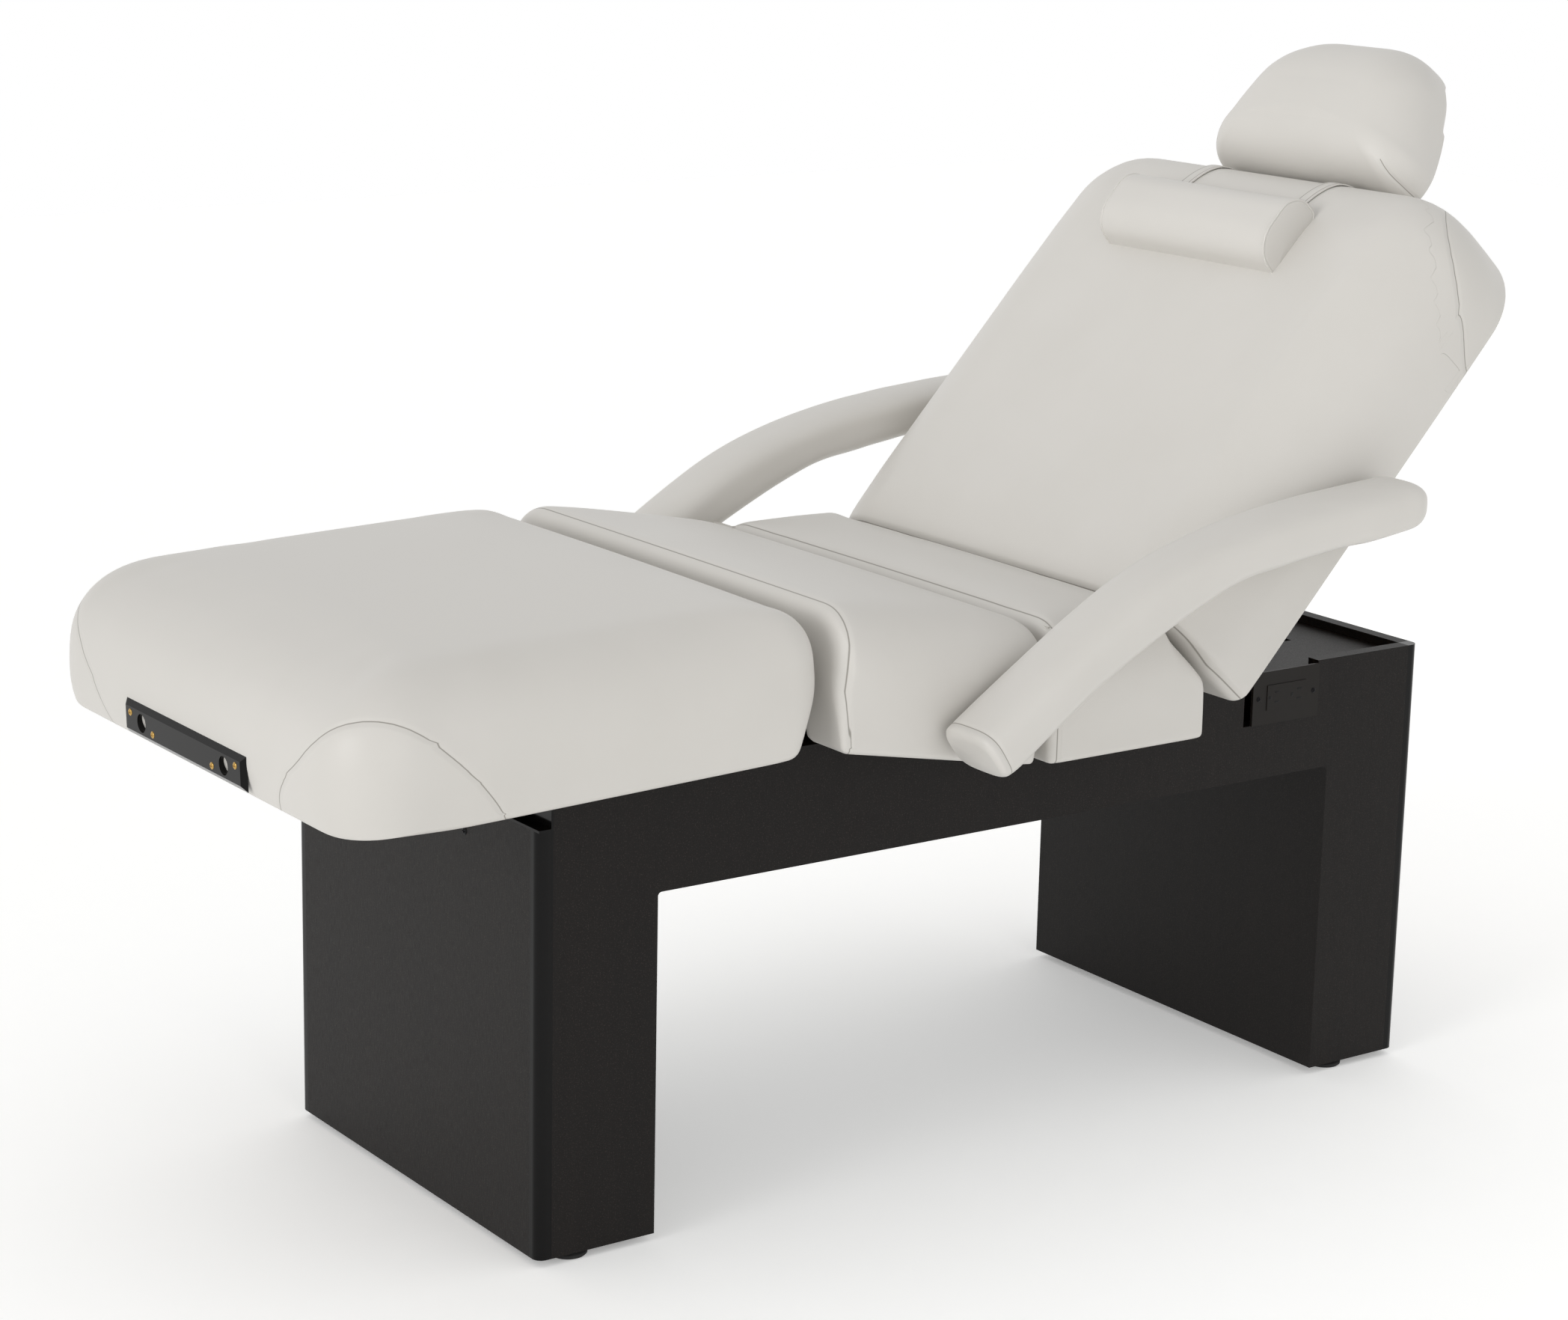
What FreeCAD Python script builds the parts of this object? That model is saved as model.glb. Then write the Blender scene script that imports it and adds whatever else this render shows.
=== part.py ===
import FreeCAD, Part
import Sketcher
import math
import os

# Powered spa treatment table: a dark bridge-shaped cabinet with two lifting columns,
# and a four-section upholstered top with arms, a headrest and a strapped neck bolster.
# Millimetres. +X runs to the head end, +Y to the table's left, +Z up from the floor.

doc = FreeCAD.newDocument("spa_table")
sheet = doc.addObject("Spreadsheet::Sheet", "Sheet")

SIZES = {
    # Cabinet; the places along it are measured in from its foot or head end
    "base_x": -606, "base_len": 1361, "base_half": 291, "panel": 19, "base_low": 10, "base_top": 576,
    "beam_low": 430, "foot_ped": 160, "head_ped": 155, "bridge_round": 5, "post_round": 12,
    "deck_drop": 12, "opening_half": 153, "opening_in": 100,
    "slot_half": 78, "slot_end": 14, "notch_wide": 76, "notch_floor": 525, "liner": 3,
    # Power outlet and mains inlet
    "outlet_in": 295, "outlet_z": 503, "outlet_wide": 114.3, "outlet_tall": 69.85, "outlet_thick": 4,
    "outlet_sunk": 1, "outlet_slot": 12, "socket_wide": 66.7, "socket_tall": 33.3, "socket_proud": 1,
    "inlet_y": 130, "inlet_z": 60, "inlet_wide": 48, "inlet_tall": 28,
    "inlet_deep": 36, "inlet_rim": 3,
    # Levelling feet
    "foot_round": 23, "foot_pad": 7, "foot_edge": 2, "foot_stud": 6, "foot_in": 26,
    "foot_from_foot": 57, "foot_from_head": 105,
    # Lifting columns
    "col_long": 90, "col_wide": 150, "col_wall": 3, "col_gap": 0.3, "col_top": 420, "col_low": 80,
    "col_from_foot": 80, "col_from_head": 78, "cap": 8, "cap_low": 540, "cap_half": 70,
    # Steel top frame
    "rail_from_foot": 106, "rail_clear": 5, "rail_in": 95, "rail_wide": 30, "rail_wall": 3, "rail_low": 530,
    "rail_top": 578, "cross": 40, "beam_t": 10, "beam_in": 85, "beam_half": 250, "beam_wide": 50,
    "beam_back": 6,
    # Hinges
    "hinge_z": 603, "thigh_x": 54, "back_x": 294, "thigh_len": 324, "knuckle": 10, "pin": 5, "fit": 0.05,
    "brk_y": 186, "plate": 8, "side_gap": 1, "pin_over": 1, "brk_top": 9, "bar_t": 8,
    # Rest angles in degrees
    "back_angle": 47.3, "thigh_angle": 10.86, "leg_angle": 12.66, "head_angle": 8,
    # Upholstered sections
    "half_width": 381, "skirt_low": 530, "pad_top": 700, "shoulder": 60, "channel_half": 299,
    "board_low": 588, "board_t": 18, "board_side": 1, "board_end": 24, "relief_up": 10, "relief_x": 60,
    "end_wall": 40,
    "leg_foot": -903, "leg_corner": 115, "hem_in": 10, "hem_up": 9, "back_start": 15,
    "back_end": 720, "back_corner": 120,
    "edge_gap": 1.5, "seat_lean": 18, "lip": 20, "lip_in": 12, "thigh_lean": 14, "scoop_top": 53,
    "scoop_lip": 14, "scoop_mid": 39, "scoop_deep": 43, "scoop_up": 3, "knee_thigh": 5,
    "knee_thigh_low": 26, "knee_lip": 10,
    "knee_leg": 9, "knee_leg_low": 48, "end_drop": 30, "end_lip": 10, "end_step": 8, "end_round": 30,
    "low_step": 9, "low_drop": 37, "low_mid": 25, "low_lip": 9, "low_round": 45,
    # Actuators and levers
    "act_z": 503, "act_y": 60, "act_round": 20, "rod_round": 10, "motor_long": 60, "motor_half": 30,
    "motor_tall": 66, "lever_t": 8, "lever_half": 14, "lever_over": 12, "cheek_t": 6, "cheek_half": 12,
    "clevis_back": 28, "clevis_block": 16, "back_lever_angle": 27.5, "thigh_lever_angle": 10,
    "back_slot": 7.4, "thigh_slot": 5.5, "back_motor_x": -110, "back_tube_end": 190, "back_rod_x": 70,
    "thigh_motor_x": 330,
    "thigh_tube_x": 120, "thigh_rod_x": 250, "slot_up": 3, "tie_x": 40, "gusset_drop": 45, "knuckle_gap": 4,
    # Leg link
    "link_drop": 45, "link_y": 134, "link_half": 10, "link_slot": 4, "link_play": 1.4, "ear_t": 6,
    "ear_y": 126, "ear_back": 40,
    # Foot sockets
    "sock_y": 105, "sock_z": 561, "sock_round": 11, "sock_wall": 3, "sock_len": 150, "plate_half": 153,
    "plate_tall": 42, "plate_t": 6, "plate_bevel": 7, "screw_round": 4, "screw_tall": 2, "screw_drop": 7,
    "screw_off": 29, "sock_bar": 40, "sock_gap": 0.3,
    # Headrest
    "head_y": 80, "head_tube": 500, "head_tube_end": 722, "head_rod_in": 520, "head_pivot": 748,
    "head_bar_round": 11, "head_bar_half": 100, "rest_from": -2, "rest_low": 19, "rest_long": 207,
    "rest_thick": 100, "rest_half": 190, "rest_top_half": 102, "rest_side": 74, "rest_board": 10,
    "rest_inset": 30, "rest_ease": 12, "rest_roll": 60, "rest_shoulder": 20,
    "clamp_y": 40, "clamp_wide": 20, "clamp_round": 18, "clamp_len": 100,
    # Bolster and straps
    "bol_from": 528, "bol_long": 104, "bol_tall": 57, "bol_half": 165, "strap_y": 104, "strap_wide": 22,
    "strap_t": 3, "strap_gap": 0.5, "strap_from": 536, "strap_low": 580,
    # Armrests
    "arm_gap": 12, "arm_wide": 92, "arm_x": 88, "arm_z": 678, "arm_long": 702, "arm_rise": 293, "arm_pin": 8,
    "arm_core": 8, "arm_boss": 24, "arm_bar": 13, "arm_bar_len": 210, "arm_bar_angle": 30, "arm_post_x": 79,
    "arm_post_end": 105, "arm_post_y": 330, "arm_post_top": 690, "arm_slack": 0.5,
    # How far a cutting shape reaches past what it cuts
    "over": 1,
}

# Outline of an armrest seen from the side, as shares of its length and height from the pivot,
# from the low end along the underside to the tip and back.
ARM_OUTLINE = [
    (-0.30484, -0.25256), (-0.26781, -0.39249), (-0.25356, -0.42321), (-0.21937, -0.38908),
    (-0.14103, -0.25939), (-0.03419, -0.08874), (0.11254, 0.09556), (0.24359, 0.22867),
    (0.34046, 0.27304), (0.47863, 0.32082), (0.57123, 0.33447), (0.65812, 0.36519),
    (0.68803, 0.41638), (0.69516, 0.49829), (0.67379, 0.56314), (0.61254, 0.57679),
    (0.53134, 0.54608), (0.43162, 0.51877), (0.31339, 0.47782), (0.17806, 0.40273),
    (0.06553, 0.30717), (-0.04416, 0.16724), (-0.18661, -0.04778), (-0.28775, -0.2116),
]

# Section of the neck bolster, as shares of its base and height, from the sharp lower edge over the top.
BOLSTER_SECTION = [(0.0, 0.0), (0.9, 0.0), (0.99, 0.15), (1.0, 0.5), (0.92, 0.82), (0.73, 1.0),
                   (0.38, 1.0), (0.13, 0.83), (0.03, 0.6)]


class Size:
    """A number together with the sheet expression that gives it."""

    def __init__(self, value, text):
        self.value = value
        self.text = text

    @staticmethod
    def of(other):
        if isinstance(other, Size):
            return other
        return Size(float(other), repr(float(other)))

    def __add__(self, other):
        other = Size.of(other)
        return Size(self.value + other.value, "(%s + %s)" % (self.text, other.text))

    def __radd__(self, other):
        return Size.of(other) + self

    def __sub__(self, other):
        other = Size.of(other)
        return Size(self.value - other.value, "(%s - %s)" % (self.text, other.text))

    def __rsub__(self, other):
        return Size.of(other) - self

    def __mul__(self, other):
        other = Size.of(other)
        return Size(self.value * other.value, "(%s * %s)" % (self.text, other.text))

    __rmul__ = __mul__

    def __truediv__(self, other):
        other = Size.of(other)
        return Size(self.value / other.value, "(%s / %s)" % (self.text, other.text))

    def __neg__(self):
        return Size(-self.value, "(-1 * %s)" % self.text)


def tangent(angle):
    """Tangent of an angle in degrees."""
    return Size(math.tan(math.radians(angle.value)), "tan(%s * 1 deg)" % angle.text)


def cosine(angle):
    """Cosine of an angle in degrees."""
    return Size(math.cos(math.radians(angle.value)), "cos(%s * 1 deg)" % angle.text)


def fill_sheet():
    """Write every size to the sheet and return the sizes by name."""
    sizes = {}
    for row, (name, value) in enumerate(SIZES.items(), start=1):
        sheet.set("A%d" % row, str(value))
        sheet.setAlias("A%d" % row, name)
        sizes[name] = Size(float(value), "Sheet.%s" % name)
    doc.recompute()
    return sizes


S = fill_sheet()
NODES = []
ZERO = Size.of(0)
PLANES = {
    "XZ": (FreeCAD.Rotation(FreeCAD.Vector(1, 0, 0), 90), FreeCAD.Vector(0, 1, 0), "y"),
    "XY": (FreeCAD.Rotation(), FreeCAD.Vector(0, 0, 1), "z"),
    "YZ": (FreeCAD.Rotation(FreeCAD.Vector(1, 1, 1), 120), FreeCAD.Vector(1, 0, 0), "x"),
}
AXES = {
    "X": FreeCAD.Rotation(FreeCAD.Vector(0, 1, 0), 90),
    "Y": FreeCAD.Rotation(FreeCAD.Vector(1, 0, 0), -90),
    "Z": FreeCAD.Rotation(),
}


def bind(obj, prop, size):
    """Tie one property to the sheet."""
    obj.setExpression(prop, Size.of(size).text)


def seat(obj, x, y, z):
    """Tie an object's position to the sheet."""
    bind(obj, ".Placement.Base.x", x)
    bind(obj, ".Placement.Base.y", y)
    bind(obj, ".Placement.Base.z", z)
    return obj


def box(x0, x1, y0, y1, z0, z1):
    """A block between pairs of limits."""
    obj = doc.addObject("Part::Box", "block")
    bind(obj, "Length", Size.of(x1) - x0)
    bind(obj, "Width", Size.of(y1) - y0)
    bind(obj, "Height", Size.of(z1) - z0)
    return seat(obj, x0, y0, z0)


def mirrored_boxes(x0, x1, y0, y1, z0, z1):
    """A block on each side of the table."""
    return [box(x0, x1, y0, y1, z0, z1), box(x0, x1, -Size.of(y1), -Size.of(y0), z0, z1)]


def rod(axis, radius, length, x, y, z):
    """A round bar from a point along an axis."""
    obj = doc.addObject("Part::Cylinder", "round")
    bind(obj, "Radius", radius)
    bind(obj, "Height", length)
    obj.Placement = FreeCAD.Placement(FreeCAD.Vector(), AXES[axis])
    return seat(obj, x, y, z)


def mirrored_rods(radius, y0, y1, x, z):
    """A round bar across the table on each side."""
    length = Size.of(y1) - y0
    return [rod("Y", radius, length, x, y0, z), rod("Y", radius, length, x, -Size.of(y1), z)]


def outline(sketch, points):
    """Draw a closed outline in a sketch, each corner tied to the sheet."""
    points = [(Size.of(u), Size.of(v)) for u, v in points]
    corners = [FreeCAD.Vector(u.value, v.value, 0) for u, v in points]
    count = len(corners)
    for number in range(count):
        sketch.addGeometry(Part.LineSegment(corners[number], corners[(number + 1) % count]), False)
    for number in range(count):
        sketch.addConstraint(Sketcher.Constraint("Coincident", number, 2, (number + 1) % count, 1))
    for number, (u, v) in enumerate(points):
        for kind, size in (("DistanceX", u), ("DistanceY", v)):
            index = sketch.addConstraint(Sketcher.Constraint(kind, -1, 1, number, 1, size.value))
            sketch.setExpression("Constraints[%d]" % index, size.text)


def prism(plane, points, start, length):
    """An outline on a plane, carried along the plane's normal."""
    turn, along, letter = PLANES[plane]
    sketch = doc.addObject("Sketcher::SketchObject", "outline")
    sketch.Placement = FreeCAD.Placement(FreeCAD.Vector(), turn)
    bind(sketch, ".Placement.Base.%s" % letter, start)
    outline(sketch, points)
    obj = doc.addObject("Part::Extrusion", "prism")
    obj.Base = sketch
    obj.DirMode = "Custom"
    obj.Dir = along
    obj.Solid = True
    bind(obj, "LengthFwd", length)
    return obj


def fuse(shapes):
    """Join pieces into one solid."""
    obj = doc.addObject("Part::MultiFuse", "joined")
    obj.Shapes = shapes
    obj.Refine = True
    return obj


def common(shapes):
    """What several shapes share."""
    obj = doc.addObject("Part::MultiCommon", "shared")
    obj.Shapes = shapes
    return obj


def cut(base, tools):
    """Take tools away from a base."""
    tool = tools[0]
    if len(tools) > 1:
        tool = doc.addObject("Part::MultiFuse", "tools")
        tool.Shapes = tools
    obj = doc.addObject("Part::Cut", "cut")
    obj.Base = base
    obj.Tool = tool
    return obj


def rounded(base, radius, wanted):
    """Round the straight edges of a block that a test picks by their middle and direction."""
    doc.recompute()
    edges = []
    for number, edge in enumerate(base.Shape.Edges, start=1):
        ends = [vertex.Point for vertex in edge.Vertexes]
        if wanted((ends[0] + ends[1]) * 0.5, (ends[1] - ends[0]).normalize()):
            edges.append((number, radius.value, radius.value))
    obj = doc.addObject("Part::Fillet", "rounded")
    obj.Base = base
    obj.Edges = edges
    return obj


def swing(angle, x, z):
    """Placement of a piece turned about a cross axis of the table, by an angle in degrees."""
    turn = FreeCAD.Rotation(FreeCAD.Vector(0, 1, 0), angle.value)
    pivot = FreeCAD.Vector(x.value, 0, z.value)
    return FreeCAD.Placement(pivot - turn.multVec(pivot), turn)


def node(label, obj, place=None):
    """Name a finished sub-part and put it where it rests."""
    obj.Label = label
    if place is not None:
        doc.recompute()
        obj.Placement = place.multiply(obj.Placement)
    NODES.append(obj)
    return obj


def origin_plane(body, role):
    """One of a body's own origin planes."""
    return [item for item in body.Origin.OriginFeatures if item.Role == role][0]


def body_sketch(body, role, points):
    """A sketch on a body's origin plane."""
    sketch = body.newObject("Sketcher::SketchObject", "profile")
    sketch.AttachmentSupport = [(origin_plane(body, role), "")]
    sketch.MapMode = "FlatFace"
    outline(sketch, points)
    return sketch


def body_pad(role, points, length):
    """A body padded from an outline on one of its origin planes."""
    body = doc.addObject("PartDesign::Body", "body")
    pad = body.newObject("PartDesign::Pad", "pad")
    pad.Profile = body_sketch(body, role, points)
    bind(pad, "Length", length)
    doc.recompute()
    return body


def body_pocket(body, role, points):
    """Cut an outline right through a body, both ways from an origin plane."""
    before = body.Shape.Volume
    pocket = body.newObject("PartDesign::Pocket", "pocket")
    pocket.Profile = body_sketch(body, role, points)
    pocket.Type = 1
    pocket.Midplane = True
    doc.recompute()
    if body.Shape.Volume >= before:
        raise RuntimeError("a pocket in the body cuts nothing")


def body_round(body, radius, wanted):
    """Round the edges of a body that a test picks by their middle and direction."""
    tip = body.Tip
    names = []
    for number, edge in enumerate(tip.Shape.Edges, start=1):
        ends = [vertex.Point for vertex in edge.Vertexes]
        if len(ends) == 2 and wanted((ends[0] + ends[1]) * 0.5, (ends[1] - ends[0]).normalize()):
            names.append("Edge%d" % number)
    fillet = body.newObject("PartDesign::Fillet", "rounding")
    fillet.Base = (tip, names)
    bind(fillet, "Radius", radius)
    doc.recompute()


base_x = S["base_x"]
base_end = base_x + S["base_len"]
half = S["base_half"]
inner = half - S["panel"]
low = S["base_low"]
post = S["panel"]
top = S["base_top"]
foot_in = base_x + S["foot_ped"]
head_in = base_end - S["head_ped"]
foot_wall = base_x + S["panel"]
head_wall = base_end - S["panel"]
soffit_top = S["beam_low"] + S["panel"]
deck_top = top - S["deck_drop"]
deck_low = deck_top - S["panel"]
outlet_x = base_end - S["outlet_in"]
opening_head = base_end - S["opening_in"]
col_foot = base_x + S["col_from_foot"]
col_head = base_end - S["col_from_head"]
rail_x = base_x + S["rail_from_foot"]
rail_end = opening_head - S["rail_clear"]
over = S["over"]


def build_side_panels():
    """Bridge-shaped side panels; the right one is notched for the outlet."""
    points = [
        (base_x + post, low), (foot_in, low), (foot_in, S["beam_low"]), (head_in, S["beam_low"]),
        (head_in, low), (base_end - post, low), (base_end - post, top), (base_x + post, top),
    ]
    for label, place in (("side_panel_right", -inner), ("side_panel_left", half)):
        body = body_pad("XZ_Plane", points, S["panel"])
        limits = (foot_in.value, head_in.value)
        body_round(body, S["bridge_round"], lambda mid, way: abs(way.y) > 0.9
                   and min(abs(mid.x - limit) for limit in limits) < 0.1
                   and abs(mid.z - S["beam_low"].value) < 0.1)
        if label == "side_panel_right":
            left = outlet_x - S["outlet_slot"]
            right = outlet_x + S["outlet_wide"]
            body_pocket(body, "XZ_Plane", [(left, S["outlet_z"]), (right, S["outlet_z"]), (right, top + over),
                                           (left, top + over)])
        seat(body, ZERO, place, ZERO)
        node(label, body)


def build_case():
    """End panels, inner pedestal panels, floors, beam soffit and deck boards."""
    post_in = half - post
    notch_y = S["notch_wide"] - half
    points = [(-post_in, low), (post_in, low), (post_in, top), (notch_y, top), (notch_y, S["notch_floor"]),
              (-post_in, S["notch_floor"])]
    node("foot_end_panel", prism("YZ", points, base_x, S["panel"]))
    panel = box(head_wall, base_end, -post_in, post_in, low, top)
    hole = box(head_wall - over, base_end + over, S["inlet_y"], S["inlet_y"] + S["inlet_wide"],
               S["inlet_z"], S["inlet_z"] + S["inlet_tall"])
    node("head_end_panel", cut(panel, [hole]))
    node("foot_inner_panel", box(foot_in - S["panel"], foot_in, -inner, inner, low, soffit_top))
    node("head_inner_panel", box(head_in, head_in + S["panel"], -inner, inner, low, soffit_top))
    node("beam_soffit", box(foot_in, head_in, -inner, inner, S["beam_low"], soffit_top))
    node("foot_floor", box(foot_wall, foot_in - S["panel"], -inner, inner, low, low + S["panel"]))
    node("head_floor", box(head_in + S["panel"], head_wall, -inner, inner, low, low + S["panel"]))
    wide = S["opening_half"]
    node("deck_side_right", box(foot_wall, head_wall, -inner, -wide, deck_low, deck_top))
    node("deck_side_left", box(foot_wall, head_wall, wide, inner, deck_low, deck_top))
    slot = S["slot_half"]
    slot_head = head_wall - S["slot_end"]
    node("deck_head", prism("XY", [(opening_head, -wide), (head_wall, -wide), (head_wall, wide),
                                   (opening_head, wide), (opening_head, slot), (slot_head, slot),
                                   (slot_head, -slot), (opening_head, -slot)], deck_low, S["panel"]))


def build_posts():
    """Rounded glossy posts at the four corners; the right foot one stops below the corner pull."""
    for label, x0, x1, side, high in (
        ("corner_post_foot_right", base_x, base_x + post, -1, S["notch_floor"]),
        ("corner_post_foot_left", base_x, base_x + post, 1, top),
        ("corner_post_head_right", base_end - post, base_end, -1, top),
        ("corner_post_head_left", base_end - post, base_end, 1, top),
    ):
        y0 = half - post if side > 0 else -half
        y1 = half if side > 0 else post - half
        corner_x = x0 if "foot" in label else x1
        corner_y = y1 if side > 0 else y0
        block = box(x0, x1, y0, y1, low, high)
        node(label, rounded(block, S["post_round"], lambda mid, way: abs(way.z) > 0.9
                            and abs(mid.x - corner_x.value) < 0.1 and abs(mid.y - corner_y.value) < 0.1))


def build_corner_pull():
    """Moulded liner of the finger recess in the right foot corner."""
    notch_y = S["notch_wide"] - half
    end = base_x + post
    liner = S["liner"]
    floor = box(base_x, end, -half, notch_y, S["notch_floor"], S["notch_floor"] + liner)
    back = box(end - liner, end, -half, notch_y, S["notch_floor"], top)
    side = box(base_x, end, notch_y - liner, notch_y, S["notch_floor"], top)
    node("corner_pull", fuse([floor, back, side]))


def build_outlet():
    """Duplex outlet on the right side: plate and receptacle."""
    x0 = outlet_x
    x1 = x0 + S["outlet_wide"]
    z0 = S["outlet_z"]
    z1 = z0 + S["outlet_tall"]
    left = (x0 + x1) / 2 - S["socket_wide"] / 2
    right = (x0 + x1) / 2 + S["socket_wide"] / 2
    down = (z0 + z1) / 2 - S["socket_tall"] / 2
    up = (z0 + z1) / 2 + S["socket_tall"] / 2
    back = S["outlet_sunk"] - half
    face = back - S["outlet_thick"]
    plate = body_pad("XZ_Plane", [(x0, z0), (x1, z0), (x1, z1), (x0, z1)], S["outlet_thick"])
    body_pocket(plate, "XZ_Plane", [(left, down), (right, down), (right, up), (left, up)])
    seat(plate, ZERO, back, ZERO)
    node("outlet_plate", plate)
    node("outlet_receptacle", box(left, right, face - S["socket_proud"], -inner - S["side_gap"], down, up))


def build_inlet():
    """Mains inlet set in the head end panel."""
    y0 = S["inlet_y"]
    y1 = y0 + S["inlet_wide"]
    z0 = S["inlet_z"]
    z1 = z0 + S["inlet_tall"]
    rim = S["inlet_rim"]
    shell = box(base_end - S["inlet_deep"], base_end, y0, y1, z0, z1)
    flange = box(base_end, base_end + rim, y0 - rim, y1 + rim, z0 - rim, z1 + rim)
    mouth = box(base_end - S["inlet_deep"] + rim, base_end + rim + over, y0 + 2 * rim, y1 - 2 * rim,
                z0 + 2 * rim, z1 - 2 * rim)
    node("mains_inlet", cut(fuse([shell, flange]), [mouth]))


def build_feet():
    """Levelling feet, each a turned pad with a stud up to the pedestal floor."""
    place = half - S["foot_in"]
    foot_x = base_x + S["foot_from_foot"]
    head_x = base_end - S["foot_from_head"]
    wide = S["foot_round"]
    tall = S["foot_pad"]
    edge = S["foot_edge"]
    for label, x, y in (("level_foot_foot_right", foot_x, -place), ("level_foot_foot_left", foot_x, place),
                        ("level_foot_head_right", head_x, -place), ("level_foot_head_left", head_x, place)):
        body = doc.addObject("PartDesign::Body", "body")
        turned = body.newObject("PartDesign::Revolution", "turned")
        points = [(ZERO, ZERO), (wide - edge, ZERO), (wide, edge), (wide, tall - edge), (wide - edge, tall),
                  (S["foot_stud"], tall), (S["foot_stud"], low), (ZERO, low)]
        sketch = body_sketch(body, "XZ_Plane", points)
        turned.Profile = sketch
        turned.ReferenceAxis = (sketch, ["V_Axis"])
        turned.Angle = 360
        doc.recompute()
        seat(body, x, y, ZERO)
        node(label, body)


def build_columns():
    """Two telescopic lifting columns: an outer tube on each pedestal floor, an inner tube under the frame."""
    floor = low + S["panel"]
    wall = S["col_wall"]
    long_half = S["col_long"] / 2
    wide_half = S["col_wide"] / 2
    step = wall + S["col_gap"]
    for name, x in (("foot", col_foot), ("head", col_head)):
        outer = box(x - long_half, x + long_half, -wide_half, wide_half, floor, S["col_top"])
        bore = box(x - long_half + wall, x + long_half - wall, wall - wide_half, wide_half - wall, floor,
                   S["col_top"])
        node("column_outer_%s" % name, cut(outer, [bore]))
        shaft = box(x - long_half + step, x + long_half - step, step - wide_half, wide_half - step,
                    S["col_low"], S["cap_low"])
        core = box(x - long_half + step + wall, x + long_half - step - wall, step + wall - wide_half,
                   wide_half - step - wall, S["col_low"], S["cap_low"])
        node("column_inner_%s" % name, cut(shaft, [core]))


hz = S["hinge_z"]
tx = S["thigh_x"]
px = S["back_x"]
kx = tx - S["thigh_len"]
brk_in = S["brk_y"]
brk_out = brk_in + S["plate"]
leaf_in = brk_out + S["side_gap"]
leaf_out = leaf_in + S["plate"]
pin_end = leaf_out + S["pin_over"]
brk_top = hz + S["brk_top"]
board_low = S["board_low"]
board_top = board_low + S["board_t"]
bar_low = board_low - S["bar_t"]


def bracket_pair(x, reach, bottom):
    """Hinge brackets with fixed pins on both sides, reaching from a hinge line to the pieces they sit on."""
    x0 = x if reach.value > x.value else reach
    x1 = reach if reach.value > x.value else x
    parts = mirrored_boxes(x0, x1, brk_in, brk_out, bottom, brk_top)
    parts += mirrored_rods(S["knuckle"], brk_in, brk_out, x, hz)
    parts += mirrored_rods(S["pin"], brk_in, pin_end, x, hz)
    return parts


def knuckle_pair(x, reach, bottom):
    """Turning hinge leaves on both sides and the bores that run on the pins."""
    x0 = x if reach.value > x.value else reach
    x1 = reach if reach.value > x.value else x
    parts = mirrored_boxes(x0, x1, leaf_in, leaf_out, bottom, brk_top)
    parts += mirrored_rods(S["knuckle"], leaf_in, leaf_out, x, hz)
    bores = mirrored_rods(S["pin"] + S["fit"], leaf_in - S["side_gap"] / 2, leaf_out + S["pin_over"], x, hz)
    return parts, bores


def build_top_frame():
    """Welded top frame: rails, cross pieces, column caps, hinge beams, brackets and actuator hangers."""
    low_z = S["rail_low"]
    high_z = S["rail_top"]
    rail_out = S["rail_in"] + S["rail_wide"]
    parts = mirrored_boxes(rail_x, rail_end, S["rail_in"], rail_out, low_z, high_z)
    cap_top = S["cap_low"] + S["cap"]
    cap_half = S["cap_half"]
    foot_cross = rail_x + S["cross"]
    head_cross = rail_end - S["cross"]
    reach = S["col_long"] / 2 - S["col_wall"] - S["col_gap"]
    parts.append(box(col_foot - reach, foot_cross, -cap_half, cap_half, S["cap_low"], cap_top))
    parts.append(box(head_cross, col_head + reach, -cap_half, cap_half, S["cap_low"], cap_top))
    parts.append(box(rail_x, foot_cross, -rail_out, rail_out, cap_top, high_z))
    parts.append(box(head_cross, rail_end, -rail_out, rail_out, cap_top, high_z))
    beam_top = high_z + S["beam_t"]
    thigh_beam = tx + S["beam_back"]
    back_beam = px - S["beam_back"]
    beam_end = S["beam_half"]
    parts += mirrored_boxes(thigh_beam, thigh_beam + S["beam_wide"], S["beam_in"], beam_end, high_z, beam_top)
    parts += mirrored_boxes(back_beam - S["beam_wide"], back_beam, S["beam_in"], beam_end, high_z, beam_top)
    parts += bracket_pair(tx, thigh_beam + S["beam_wide"], beam_top)
    parts += bracket_pair(px, back_beam - S["beam_wide"], beam_top)
    motor_top = S["act_z"] + S["motor_tall"] / 2
    parts.append(box(S["back_motor_x"], S["back_motor_x"] + S["cross"], ZERO, rail_out, motor_top, high_z))
    parts.append(box(S["thigh_motor_x"] + S["motor_long"] - S["cross"], S["thigh_motor_x"] + S["motor_long"],
                     -rail_out, ZERO, motor_top, high_z))
    parts += mirrored_boxes(S["arm_post_x"], S["arm_post_end"], beam_end - over, S["arm_post_y"] + S["plate"],
                            high_z, beam_top)
    wall = S["rail_wall"]
    cores = mirrored_boxes(rail_x, rail_end, S["rail_in"] + wall, rail_out - wall, low_z + wall,
                           high_z - wall)
    bores = mirrored_rods(S["pin"] + S["fit"], S["rail_in"] - over, rail_out + over, tx, hz - S["link_drop"])
    node("top_frame", cut(fuse(parts), cores + bores))


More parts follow.
